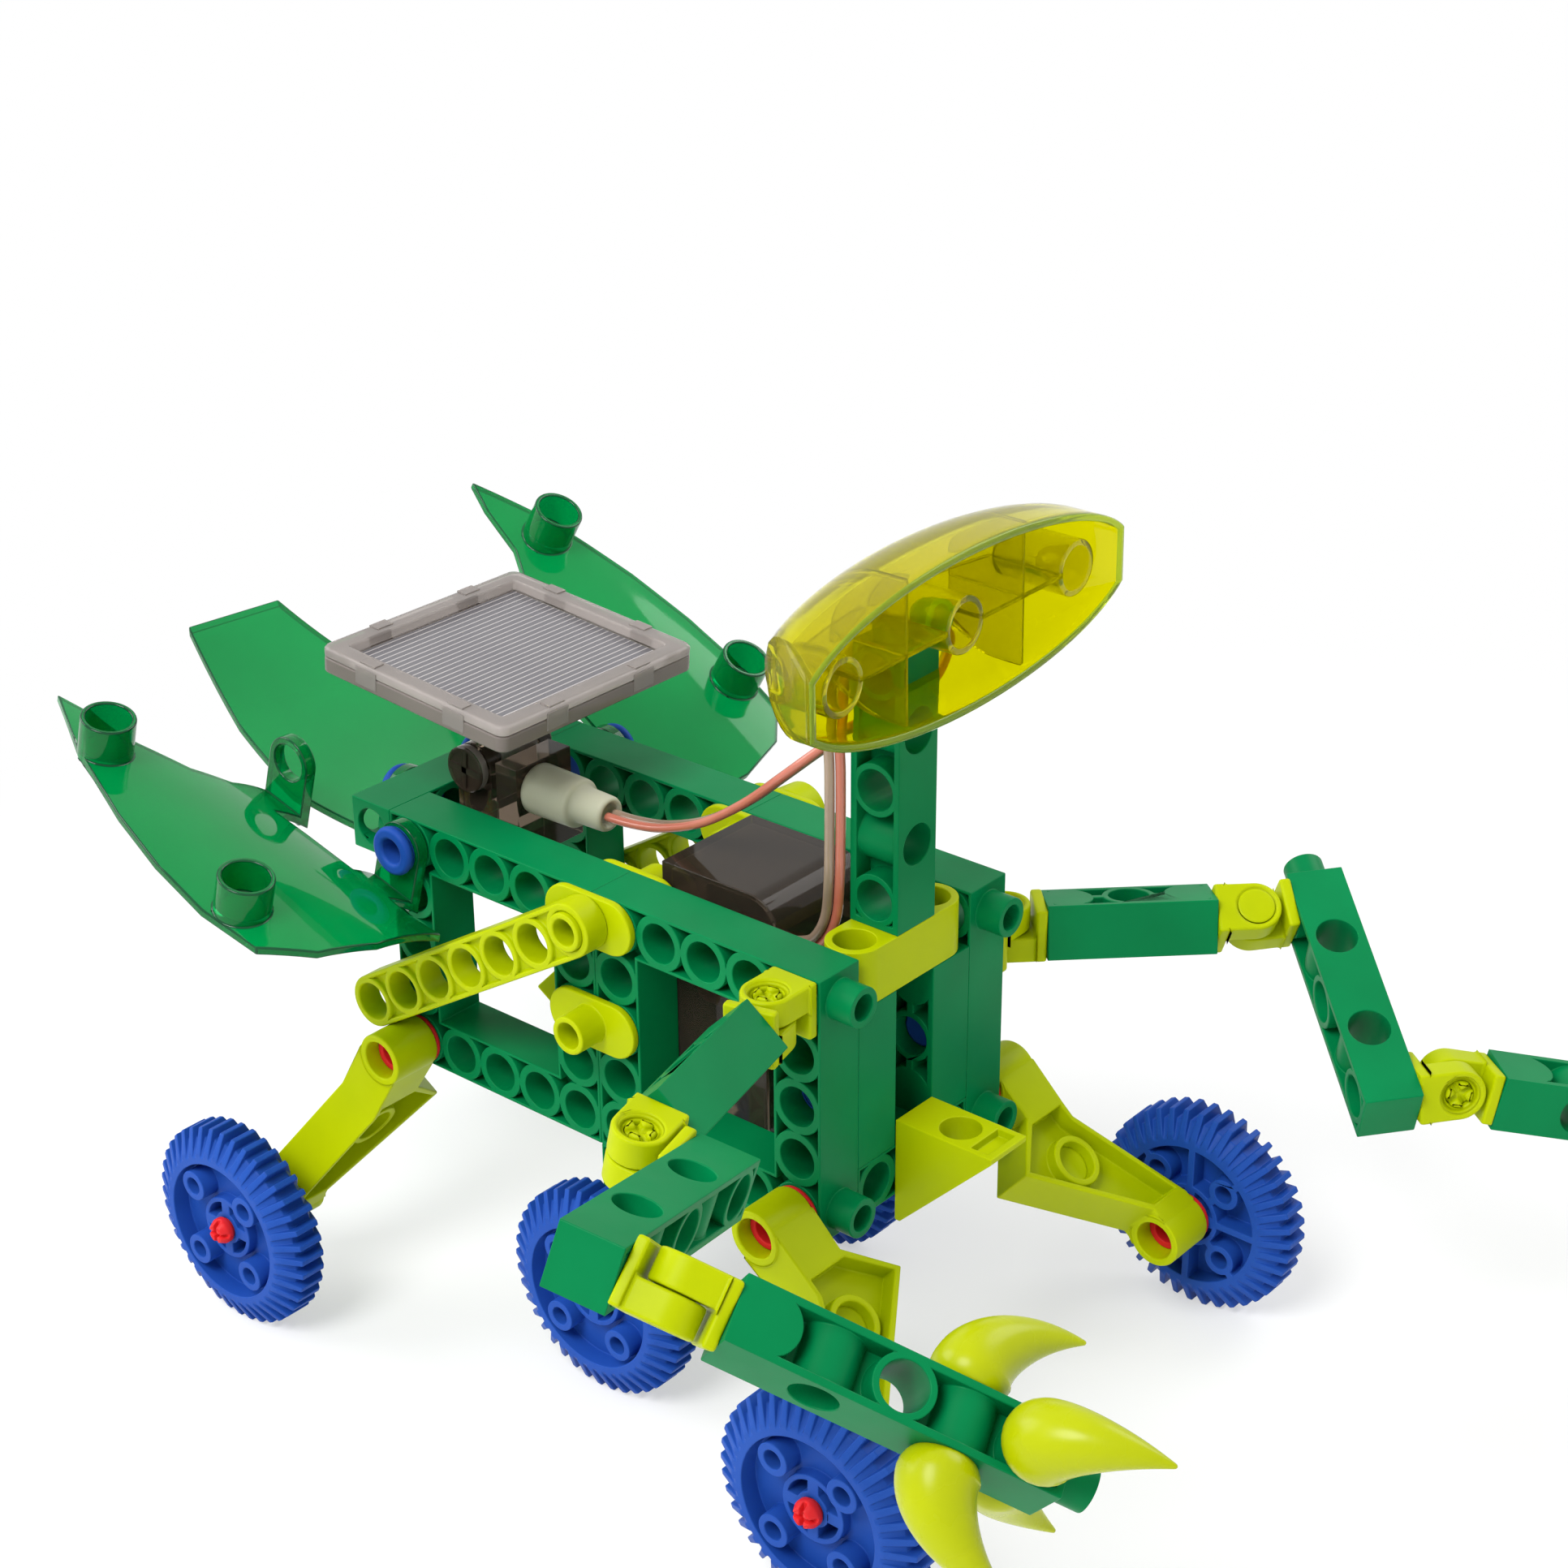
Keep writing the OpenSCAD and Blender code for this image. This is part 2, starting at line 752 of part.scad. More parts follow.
// Hinge half with its flange at -X and its axis on Z
module hinge_flange() {
    translate([-hinge_reach, -flange_w / 2, -half])
        cube([flange_t, flange_w, pitch]);
    rotate([0, 0, 180])
        translate([hinge_reach, 0, 0])
            peg(peg_len - 0.3);
}
module hinge_tongue() {
    linear_extrude(half - face_gap / 2) {
        circle(r = tongue_r);
        translate([-hinge_reach + bond, -tongue_r])
            square([hinge_reach - bond, 2 * tongue_r]);
    }
}
module hinge_upper() color("yellowgreen") {
    hinge_flange();
    translate([0, 0, face_gap / 2])
        difference() {
            hinge_tongue();
            rod_z(hinge_pin_r + peg_gap, -cut, half + cut);
            translate([0, 0, half - face_gap / 2 - 0.8])
                rod_z(hinge_pin_r + 1, 0, half);
        }
}
module hinge_lower() color("yellowgreen") {
    hinge_flange();
    mirror([0, 0, 1])
        translate([0, 0, face_gap / 2])
            hinge_tongue();
    difference() {
        rod_z(hinge_pin_r, -face_gap / 2 - bond, half - 0.4);
        for (a = [45, 135])
            rotate(a)
                translate([0, 0, half])
                    cube([2 * hinge_pin_r + 1, 1, 3], center = true);
    }
}

// Arm chain: each step places its children one link further out
module near_1() translate([front_x, -side_out - hinge_reach, row]) rotate([0, 0, -90]) children();
module near_2() near_1() rotate([0, 0, near_fold_1]) children();
module near_3() near_2()
    translate([2 * hinge_reach + post_len, 0, 0])
        rotate([near_twist_2, 0, 0])
            children();
module near_4() near_3() rotate([0, 0, near_fold_2]) children();
module near_5() near_4() translate([hinge_reach + half, 0, 0]) rotate([near_roll_2, 0, 0]) children();
module near_6() near_5()
    translate([half + hinge_reach, beam_len - pitch, 0])
        rotate([near_twist_3, 0, 0])
            children();
module near_7() near_6() rotate([0, 0, near_fold_3]) children();
module near_8() near_7() translate([hinge_reach, 0, 0]) rotate([near_roll_3, 0, 0]) children();
module far_1() translate([front_x, side_out + hinge_reach, pitch]) rotate([0, 0, 90]) children();
module far_2() far_1() rotate([0, 0, far_fold_1]) children();
module far_3() far_2()
    translate([2 * hinge_reach + post_len, 0, 0])
        rotate([far_twist_2, 0, 0])
            children();
module far_4() far_3() rotate([0, 0, far_fold_2]) children();
module far_5() far_4() translate([hinge_reach + half, 0, 0]) rotate([far_roll_2, 0, 0]) children();
module far_6() far_5()
    translate([half + hinge_reach, beam_len - pitch, 0])
        rotate([far_twist_3, 0, 0])
            children();
module far_7() far_6() rotate([0, 0, far_fold_3]) children();
module far_8() far_7() translate([hinge_reach, 0, 0]) rotate([far_roll_3, 0, 0]) children();
module outer_half() rotate([0, 0, 180]) hinge_lower();
module hinge_roots() {
    near_1() hinge_upper();
    far_1() hinge_upper();
}
module arm_rod(roll) color("seagreen")
    translate([hinge_reach, 0, 0])
        rotate([roll, 0, 0])
            short_rod(true);
module arm_beam(pegged) color("seagreen")
    rotate([0, 0, 90])
        translate([-half, 0, 0])
            dual_beam(false, pegged);

// Curved claw swept along its own centre line, rooted on a face of the hand
claw_base = [[-0.5, -0.3, 0.76], [-0.5, 0.9, 0.92]];
claw_ends = [[-0.5, 2.5, 0], [-0.3, 6, 0], [4.5, claw_spread - 2.2, 0], [claw_len, claw_spread, 0]];
function claw_point(t) = pow(1 - t, 3) * claw_ends[0] + 3 * t * pow(1 - t, 2) * claw_ends[1]
    + 3 * t * t * (1 - t) * claw_ends[2] + pow(t, 3) * claw_ends[3];
function claw_way(t) = claw_point(t + 0.02) - claw_point(t - 0.02);
function claw_radius(t) = claw_root_r * (1 - 0.93 * pow(t, 1.75));
function ring_points(c, d, r, n) = [for (i = [0:n - 1])
    c + r * (cos(360 * i / n) * [-d[1], d[0], 0] + sin(360 * i / n) * [0, 0, 1])];
function tube_faces(m, n) = concat(
    [for (j = [0:m - 2], i = [0:n - 1]) [j * n + i, (j + 1) * n + i, (j + 1) * n + (i + 1) % n]],
    [for (j = [0:m - 2], i = [0:n - 1]) [j * n + i, (j + 1) * n + (i + 1) % n, j * n + (i + 1) % n]],
    [for (i = [1:n - 2]) [0, i, i + 1]],
    [for (i = [1:n - 2]) [(m - 1) * n, (m - 1) * n + i + 1, (m - 1) * n + i]]);
module claw() {
    m = 13;
    n = 16;
    base = [for (b = claw_base) each ring_points([b[0], b[1], 0], [0, 1, 0], b[2] * claw_root_r, n)];
    horn = [for (j = [0:m - 1]) let (t = j / (m - 1), w = claw_way(t))
        each ring_points(claw_point(t), w / norm(w), claw_radius(t), n)];
    polyhedron(concat(base, horn), tube_faces(m + len(claw_base), n));
}
module claws() color("yellowgreen")
    for (a = [0:90:270])
        rotate([a, 0, 0])
            translate([beam_len - (a % 180 == 0 ? half : 1.5 * pitch), half, 0])
                claw();

// Wing panel: X to the rear, Y outward, Z up, pin axis at the origin
module ear(drop) difference() {
    union() {
        rod_y(half, 0, ear_t);
        translate([-half, 0, -drop])
            cube([pitch, ear_t, drop]);
    }
    rod_y(bore_r, -cut, ear_t + cut);
}
module wing_shell() difference() {
    translate([0, wing_axis_w, wing_axis_n])
        rod_x(wing_arc_r, -row, 7 * pitch);
    translate([0, wing_axis_w, wing_axis_n])
        rod_x(wing_arc_r - wing_t, -row - cut, 7 * pitch + cut);
}
module wing_outline() {
    polygon([[68, 25], [61, 23], [50, 21.5], [40, 17], [34, 10], [17, 8.5], [1, 8], [-11, 9], [-17, 7],
        [-18, 24], [-15, 35], [-8, 42.5], [5, 43.5], [19, 42], [33, 39], [52, 33]]);
    for (x = [0, 3 * pitch])
        translate([x - half, 0])
            square([pitch, 18]);
}
module wing() color("green", 0.6) {
    intersection() {
        wing_shell();
        translate([0, 0, -row])
            linear_extrude(4 * pitch)
                wing_outline();
    }
    for (x = [0, 3 * pitch])
        translate([x, 0, 0])
            ear(pitch + 1.5);
    for (q = [[49, 29], [1, 38]])
        translate([q[0], q[1], 0])
            difference() {
                rod_z(half, 0.6, wing_tube_h);
                rod_z(half - 0.9, 2.4, wing_tube_h + cut);
            }
}
module near_wing(tilt)
    translate([rear_x, -ear_y, row])
        rotate([0, tilt, 0])
            rotate([0, 0, 180])
                wing();
module tail_outline() {
    polygon([[2, -19], [20, -21], [40, -17.5], [60, -11], [61, 11], [40, 17.5], [20, 21], [2, 19]]);
    for (y = [-pitch, pitch])
        translate([0, y - half])
            square([half, pitch]);
}
module tail() color("green", 0.6)
    translate([tail_root, 0, 0])
        rotate([0, 0, 180]) {
            intersection() {
                difference() {
                    translate([tail_axis_r, 0, tail_axis_z])
                        rod_y(tail_arc_r, -3 * pitch, 3 * pitch);
                    translate([tail_axis_r, 0, tail_axis_z])
                        rod_y(tail_arc_r - wing_t, -3 * pitch - cut, 3 * pitch + cut);
                }
                linear_extrude(6 * pitch)
                    tail_outline();
            }
            for (y = [-pitch, pitch])
                translate([0, y, row])
                    rotate([0, 0, -90])
                        ear(6);
        }

// Solar panel on its tilt bracket
module panel_place()
    translate([tilt_x, 0, tilt_z])
        rotate([0, panel_tilt, 0])
            translate([0.7, 0, 0])
                children();
module round_rect(l, w, r) {
    square([l - 2 * r, w], center = true);
    square([l, w - 2 * r], center = true);
    for (sx = [-1, 1], sy = [-1, 1])
        translate([sx * (l / 2 - r), sy * (w / 2 - r)])
            circle(r = r);
}
module panel_tray() color("gray", 0.6) {
    panel_place()
        translate([0, 0, panel_rise])
            difference() {
                linear_extrude(tray_t)
                    round_rect(panel_l, panel_w, 2);
                translate([0, 0, tray_t - cell_t])
                    linear_extrude(cell_t + cut)
                        square([panel_l - 2 * cell_rim, panel_w - 2 * cell_rim], center = true);
            }
    translate([tilt_x, 0, tilt_z])
        rotate([0, panel_tilt, 0]) {
            rod_y(knuckle_r, -4.6, 4.6);
            translate([-3.4, -4.6, 0])
                cube([6.8, 9.2, panel_rise + bond]);
            rod_y(2.4, -10, 10);
            rod_y(knuckle_r, -10, -8.3);
        }
}
module panel_cell() color("black")
    panel_place()
        translate([0, 0, panel_rise + tray_t - cell_t])
            linear_extrude(cell_t)
                square([panel_l - 2 * cell_rim, panel_w - 2 * cell_rim], center = true);
module panel_lid() color("lightgray", 0.4)
    panel_place()
        translate([0, 0, panel_rise + tray_t])
            linear_extrude(lid_t)
                round_rect(panel_l, panel_w, 2);
module panel_base() color("dimgray", 0.6)
    difference() {
        union() {
            translate([-10 * pitch, -8, 13])
                cube([base_front + 10 * pitch, 16, tilt_z - knuckle_r - 1 - 13]);
            translate([base_front - 5.5, -8.5, 13])
                cube([5.5, 14, tilt_z + 2.5 - 13]);
            both_sides() {
                translate([tilt_x, 0, tilt_z])
                    rod_y(knuckle_r, -8, -4.9);
                translate([tilt_x - knuckle_r, -8, 20])
                    cube([2 * knuckle_r, 3.1, tilt_z - 20]);
            }
            translate([-10 * pitch, 0, row])
                rod_x(peg_r, -peg_len, bond);
        }
        translate([tilt_x, 0, tilt_z])
            rod_y(2.4 + peg_gap, -row, row);
    }
module plug() color("wheat")
    translate([0, plug_y, plug_z]) {
        rod_x(plug_r, base_front, plug_step);
        rod_x(plug_sleeve_r, plug_step - bond, plug_end);
    }

// Twin wire from the plug, round a loop behind the neck and down to the motor case
cord_route = [[-65.9, -3.2, 26.3], [-60, -3.4, 26.8], [-52, -3.8, 28.6], [-42, -4.4, 33], [-32, -5, 40],
    [-24, -5.2, 47], [-18, -3.6, 52.6], [-14.2, 2, 56.4], [-12.6, 12, 57.2], [-12.4, 20.5, 59.5],
    [-12.4, 23.5, 65.5], [-12.4, 18, 70.5], [-12.6, 8, 71.5], [-12.6, -1.5, 69.5], [-12.2, -6.4, 62],
    [-11.6, -7, 52], [-11.6, -7, 42], [-11.8, -7, 32], [-12.6, -7, 25], [-15.4, -7, 20], [-19.5, -7, 18]];
function bend(a, b, c, d, t) = 0.5 * (2 * b + (c - a) * t + (2 * a - 5 * b + 4 * c - d) * t * t
    + (3 * b - a - 3 * c + d) * t * t * t);
function cord_at(i, t) = let (p = cord_route, e = len(p) - 1)
    bend(p[max(i - 1, 0)], p[i], p[min(i + 1, e)], p[min(i + 2, e)], t);
cord_last = len(cord_route) - 1;
cord_line = concat([for (i = [0:cord_last - 1], t = [0, 0.5]) cord_at(i, t)], [cord_route[cord_last]]);
function cord_way(k) =
    let (w = cord_line[min(k + 1, len(cord_line) - 1)] - cord_line[max(k - 1, 0)]) w / norm(w);
function cord_side(k) =
    let (p = k == 0 ? [0, 1, 0] : cord_side(k - 1), w = cord_way(k), s = p - (p * w) * w) s / norm(s);
function cord_ring(k, y) = let (w = cord_way(k), u = cord_side(k))
    [for (i = [0:7]) cord_line[k] + y * u + strand_r * (cos(45 * i) * u + sin(45 * i) * cross(w, u))];
module strand(y) {
    m = len(cord_line);
    polyhedron([for (k = [0:m - 1]) each cord_ring(k, y)], tube_faces(m, 8));
}
module cord() color("orangered")
    for (s = [-1, 1])
        strand(s * (strand_r + 0.1));

stand() rear_frame();  // frame_near_rear
stand() front_frame();  // frame_near_front
stand() far_side() rear_frame();  // frame_far_rear
stand() far_side() front_frame();  // frame_far_front
stand() rear_beam();
stand() top_beam();
stand() front_posts();
stand() centre_post();
stand() bottom_beam();
stand() wedge();
stand() neck();
stand() head();
stand() head_peg();
stand() motor_case();
stand() motor();
stand() axle_posts();
stand() drive_axle();
stand() near_wheel(drive_hub, drive_in);  // wheel_drive_near
stand() far_side() near_wheel(drive_hub, drive_in);  // wheel_drive_far
stand() near_wheel(front_foot, wheel_in);  // wheel_near_front
stand() near_wheel(rear_foot, wheel_in);  // wheel_near_rear
stand() far_side() near_wheel(front_foot, wheel_in);  // wheel_far_front
stand() far_side() near_wheel(rear_foot, wheel_in);  // wheel_far_rear
stand() near_leg(front_x, -front_drop);  // leg_near_front
stand() near_leg(rear_x, rear_drop - 180);  // leg_near_rear
stand() far_side() near_leg(front_x, -front_drop);  // leg_far_front
stand() far_side() near_leg(rear_x, rear_drop - 180);  // leg_far_rear
stand() near_foot_pin(front_foot);  // foot_pin_near_front
stand() near_foot_pin(rear_foot);  // foot_pin_near_rear
stand() far_side() near_foot_pin(front_foot);  // foot_pin_far_front
stand() far_side() near_foot_pin(rear_foot);  // foot_pin_far_rear
stand() hip_pins();
stand() tee_plates();
stand() long_beams();
stand() blue_pins();
stand() hinge_roots();
stand() near_2() arm_rod(near_rod_roll);  // near_rod
stand() {  // near_rod_hinges
    near_2() outer_half();
    near_3() hinge_upper();
}
stand() near_5() arm_beam(false);  // near_beam
stand() {  // near_beam_hinges
    near_4() outer_half();
    near_6() hinge_upper();
}
stand() color("seagreen") near_8() dual_beam(true, true);  // near_hand
stand() near_7() outer_half();  // near_hand_hinge
stand() near_8() claws();  // near_claws
stand() far_2() arm_rod(far_rod_roll);  // far_rod
stand() {  // far_rod_hinges
    far_2() outer_half();
    far_3() hinge_upper();
}
stand() far_5() arm_beam(true);  // far_beam
stand() {  // far_beam_hinges
    far_4() outer_half();
    far_6() hinge_upper();
}
stand() color("seagreen") far_8() dual_beam(true, true);  // far_hand
stand() far_7() outer_half();  // far_hand_hinge
stand() far_8() claws();  // far_claws
stand() near_wing(near_wing_tilt);  // wing_near
stand() far_side() near_wing(far_wing_tilt);  // wing_far
stand() tail();
stand() panel_base();
stand() panel_tray();
stand() panel_cell();
stand() panel_lid();
stand() plug();
stand() cord();
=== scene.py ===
import json
import math

import bmesh
import bpy
from mathutils import Matrix, Vector

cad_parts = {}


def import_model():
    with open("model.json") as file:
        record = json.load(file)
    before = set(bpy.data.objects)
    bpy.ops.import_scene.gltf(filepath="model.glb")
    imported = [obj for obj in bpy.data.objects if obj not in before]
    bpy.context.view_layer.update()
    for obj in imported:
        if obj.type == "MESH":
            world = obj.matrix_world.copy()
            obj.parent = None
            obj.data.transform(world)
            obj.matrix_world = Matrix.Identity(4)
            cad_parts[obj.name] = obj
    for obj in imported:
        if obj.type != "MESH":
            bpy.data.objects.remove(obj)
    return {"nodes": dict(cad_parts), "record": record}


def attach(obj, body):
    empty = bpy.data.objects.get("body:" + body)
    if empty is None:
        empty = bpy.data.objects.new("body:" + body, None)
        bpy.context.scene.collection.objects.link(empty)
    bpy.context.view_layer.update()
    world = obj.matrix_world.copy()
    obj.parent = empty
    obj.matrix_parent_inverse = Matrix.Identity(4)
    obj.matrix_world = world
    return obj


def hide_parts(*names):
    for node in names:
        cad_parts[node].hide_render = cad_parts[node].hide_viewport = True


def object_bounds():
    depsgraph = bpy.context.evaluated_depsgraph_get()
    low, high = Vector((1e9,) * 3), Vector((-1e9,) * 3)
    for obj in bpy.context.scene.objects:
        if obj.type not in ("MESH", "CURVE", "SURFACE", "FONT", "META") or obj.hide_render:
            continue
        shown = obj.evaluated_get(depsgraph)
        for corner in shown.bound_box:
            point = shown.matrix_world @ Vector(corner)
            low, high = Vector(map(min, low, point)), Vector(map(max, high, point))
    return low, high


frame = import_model()
cad_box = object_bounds()
NODE = frame["nodes"]
SLOT = {part["node"]: part["material_slot"] for part in frame["record"]["subparts"]}
MM = 0.001
NOSE_DOWN = math.radians(3.2)
STAND = Matrix.Rotation(NOSE_DOWN, 4, "Y") @ Matrix.Translation((-0.005, 0, 0))
scene = bpy.context.scene
scene.view_settings.view_transform = "Standard"


# Camera: the photograph's viewing angle and field of view
PHOTO_WIDTH = 1932
FOCAL_PIXELS = 3581.04
SENSOR = 36
EYE = (0.257583, -0.337188, 0.250324)
RIGHT = Vector((0.764692, 0.644361, -0.006782))
UP = Vector((-0.269541, 0.329401, 0.9049))


def add_camera():
    data = bpy.data.cameras.new("Camera")
    data.sensor_width = SENSOR
    data.lens = FOCAL_PIXELS * SENSOR / PHOTO_WIDTH
    data.clip_start = 0.01
    camera = bpy.data.objects.new("Camera", data)
    scene.collection.objects.link(camera)
    axes = Matrix((RIGHT, UP, RIGHT.cross(UP))).transposed().to_4x4()
    camera.matrix_world = STAND @ (Matrix.Translation(EYE) @ axes)
    scene.camera = camera


add_camera()


# Node materials
def material(name):
    mat = bpy.data.materials.new(name)
    mat.use_nodes = True
    tree = mat.node_tree
    tree.nodes.clear()
    out = tree.nodes.new("ShaderNodeOutputMaterial")
    bsdf = tree.nodes.new("ShaderNodeBsdfPrincipled")
    tree.links.new(bsdf.outputs[0], out.inputs[0])
    return mat, tree, bsdf


def node(tree, kind, links=(), **values):
    made = tree.nodes.new("ShaderNode" + kind)
    for key, value in values.items():
        if key in made.inputs:
            made.inputs[key].default_value = value
        else:
            setattr(made, key, value)
    for socket, source in links:
        tree.links.new(source, made.inputs[socket])
    return made


def place(tree):
    return node(tree, "TexCoord").outputs["Object"]


def noise(tree, where, scale, detail, rough=0.5):
    made = node(tree, "TexNoise", [("Vector", where)], Scale=scale, Detail=detail, Roughness=rough)
    return made.outputs["Fac"]


def ramp(tree, source, stops):
    made = node(tree, "ValToRGB", [("Fac", source)])
    line = made.color_ramp.elements
    while len(line) < len(stops):
        line.new(0.5)
    for element, (spot, colour) in zip(line, stops):
        element.position = spot
        element.color = (*colour, 1)
    return made.outputs["Color"]


def mottle(tree, where, low, high, scale, detail):
    return ramp(tree, noise(tree, where, scale, detail), [(0.3, low), (0.7, high)])


def spread(tree, source, low, high):
    made = node(tree, "MapRange", [("Value", source)], **{"To Min": low, "To Max": high})
    return made.outputs["Result"]


def patches(tree, where, low, high, scale):
    return spread(tree, noise(tree, where, scale, detail=3.0), low, high)


def grain(tree, bsdf, where, scale, strength, depth):
    height = noise(tree, where, scale, detail=2.0, rough=0.6)
    made = node(tree, "Bump", [("Height", height)], Strength=strength, Distance=depth)
    tree.links.new(made.outputs["Normal"], bsdf.inputs["Normal"])


def plastic(name, shade, lit, rough, soft=0.0, soft_radius=(1, 1, 1), gloss=0.1):
    mat, tree, bsdf = material(name)
    where = place(tree)
    colour = mottle(tree, where, shade, lit, scale=38, detail=4.0)
    wear = patches(tree, where, rough - 0.06, rough + 0.08, scale=160)
    tree.links.new(colour, bsdf.inputs["Base Color"])
    tree.links.new(wear, bsdf.inputs["Roughness"])
    grain(tree, bsdf, where, scale=2600, strength=0.08, depth=0.00005)
    bsdf.inputs["Specular IOR Level"].default_value = gloss
    if soft:
        bsdf.inputs["Subsurface Weight"].default_value = soft
        bsdf.inputs["Subsurface Radius"].default_value = soft_radius
        bsdf.inputs["Subsurface Scale"].default_value = 0.002
    return mat


def clear(name, thin, thick, rough, through, ior, pebble=0.02):
    mat, tree, bsdf = material(name)
    where = place(tree)
    colour = mottle(tree, where, thick, thin, scale=24, detail=3.0)
    wear = patches(tree, where, rough, rough + 0.06, scale=140)
    tree.links.new(colour, bsdf.inputs["Base Color"])
    tree.links.new(wear, bsdf.inputs["Roughness"])
    grain(tree, bsdf, where, scale=420, strength=pebble, depth=0.00003)
    bsdf.inputs["Transmission Weight"].default_value = through
    bsdf.inputs["IOR"].default_value = ior
    return mat


STRIPE_PITCH = 0.00138
CELL_DARK = (0.13, 0.125, 0.135)
CELL_LINE = (0.5, 0.47, 0.455)


def cell_stripes(name):
    mat, tree, bsdf = material(name)
    where = place(tree)
    along = node(tree, "SeparateXYZ", [("Vector", where)]).outputs["X"]
    turns = node(tree, "Math", [(0, along)], operation="DIVIDE")
    turns.inputs[1].default_value = STRIPE_PITCH
    step = node(tree, "Math", [(0, turns.outputs[0])], operation="FRACT")
    lines = ramp(tree, step.outputs[0], [(0.0, CELL_DARK), (0.8, CELL_DARK), (0.84, CELL_LINE),
                                         (0.96, CELL_LINE), (1.0, CELL_DARK)])
    cloud = mottle(tree, where, (0.86, 0.85, 0.88), (1.0, 1.0, 1.0), scale=60, detail=4.0)
    tint = node(tree, "Mix", [("A", lines), ("B", cloud)], data_type="RGBA", blend_type="MULTIPLY")
    tint.inputs[0].default_value = 1.0
    tree.links.new(tint.outputs["Result"], bsdf.inputs["Base Color"])
    wear = patches(tree, where, 0.22, 0.34, scale=220)
    tree.links.new(wear, bsdf.inputs["Roughness"])
    grain(tree, bsdf, where, scale=900, strength=0.02, depth=0.00002)
    return mat


LIME_GLOW = (1.0, 0.9, 0.05)
GREEN = plastic("green_plastic", (0.0, 0.165, 0.049), (0.0, 0.21, 0.064), 0.36, gloss=0.08)
LIME = plastic("lime_plastic", (0.385, 0.465, 0.0), (0.45, 0.525, 0.0), 0.38,
               soft=0.15, soft_radius=LIME_GLOW, gloss=0.08)
CLAW = plastic("claw_plastic", (0.37, 0.425, 0.0), (0.43, 0.485, 0.0), 0.26,
               soft=0.15, soft_radius=LIME_GLOW, gloss=0.2)
BLUE = plastic("blue_plastic", (0.01, 0.06, 0.33), (0.018, 0.08, 0.39), 0.44)
RED = plastic("red_plastic", (0.66, 0.018, 0.02), (0.76, 0.026, 0.03), 0.34)
BRIGHT = plastic("bright_green_plastic", (0.09, 0.42, 0.06), (0.12, 0.5, 0.08), 0.25)
DARK = plastic("dark_shaft", (0.012, 0.012, 0.014), (0.022, 0.022, 0.024), 0.35)
ORANGE = plastic("motor_can", (0.42, 0.12, 0.04), (0.6, 0.19, 0.06), 0.3)
OFFWHITE = plastic("ivory_plastic", (0.42, 0.42, 0.31), (0.5, 0.5, 0.38), 0.38,
                   soft=0.2, soft_radius=(1.0, 0.8, 0.5))
CLEAR_GREEN = clear("clear_green", (0.0, 0.37, 0.085), (0.0, 0.3, 0.068), 0.02,
                    through=0.66, ior=1.32, pebble=0.01)
CLEAR_LIME = clear("clear_lime", (0.8, 0.75, 0.0), (0.72, 0.69, 0.0), 0.0,
                   through=0.88, ior=1.27, pebble=0.008)
# Darker, less clear lime for the head's rim: painted shade standing in for the deeper tone that
# light takes through the clear rim
PAINTED_SHADE_ON_LIME_RIM = clear("clear_lime_rim_painted_shade", (0.36, 0.52, 0.02), (0.28, 0.44, 0.02), 0.05,
                  through=0.6, ior=1.3)
# Dark green for the bevels of clear green parts: painted shade standing in for the dark edges that
# light inside clear plastic gives
PAINTED_SHADE_ON_GREEN_BEVELS = clear("clear_green_bevel_painted_shade", (0.0, 0.1, 0.03), (0.0, 0.06, 0.02), 0.05,
                   through=0.25, ior=1.35)
SMOKE = clear("smoke", (0.33, 0.285, 0.26), (0.26, 0.225, 0.205), 0.12,
              through=0.45, ior=1.25, pebble=0.0)
DARK_SMOKE = clear("dark_smoke", (0.2, 0.15, 0.11), (0.12, 0.095, 0.07), 0.03,
                   through=0.85, ior=1.24, pebble=0.004)
LID = clear("clear_lid", (0.52, 0.475, 0.45), (0.44, 0.4, 0.375), 0.1,
            through=0.62, ior=1.25, pebble=0.0)
CELL = cell_stripes("solar_cell")
WIRE = plastic("wire", (0.5, 0.1, 0.07), (0.6, 0.14, 0.1), 0.3)
STRAND_RED = plastic("strand_red", (0.4, 0.09, 0.055), (0.58, 0.2, 0.14), 0.14,
                     soft=0.1, soft_radius=(1.0, 0.3, 0.2), gloss=0.6)
STRAND_COPPER = plastic("strand_copper", (0.12, 0.075, 0.05), (0.4, 0.29, 0.21), 0.12, gloss=0.7)

LOOK = {
    "green": GREEN, "lime": LIME, "blue": BLUE, "red": RED, "clear_green": CLEAR_GREEN,
    "clear_lime": CLEAR_LIME, "bright_green": BRIGHT, "smoke": SMOKE, "orange": ORANGE,
    "dark": DARK, "cell": CELL, "clear": LID, "offwhite": OFFWHITE, "wire": WIRE,
}
DARK_SMOKE_NODES = ("motor_case", "panel_base")


# Rounded moulded edges on the CAD nodes, with widths in millimetres
PLAIN_EDGE = 0.22
HINGE_EDGE = 0.5
LEG_EDGE = 0.35
EDGE = {
    "blue_pins": 0.8, "hip_pins": 0.35, "tee_plates": LEG_EDGE, "long_beams": LEG_EDGE,
    "tail": 0.3, "wing_near": 0.3, "wing_far": 0.3, "panel_tray": 0.4, "head": 0.3,
}


def edge_width(name):
    if "hinge" in name:
        return HINGE_EDGE
    if name.startswith("leg_"):
        return LEG_EDGE
    return EDGE.get(name, PLAIN_EDGE)


def even_normals(obj):
    even = obj.modifiers.new("even", "WEIGHTED_NORMAL")
    even.keep_sharp = False


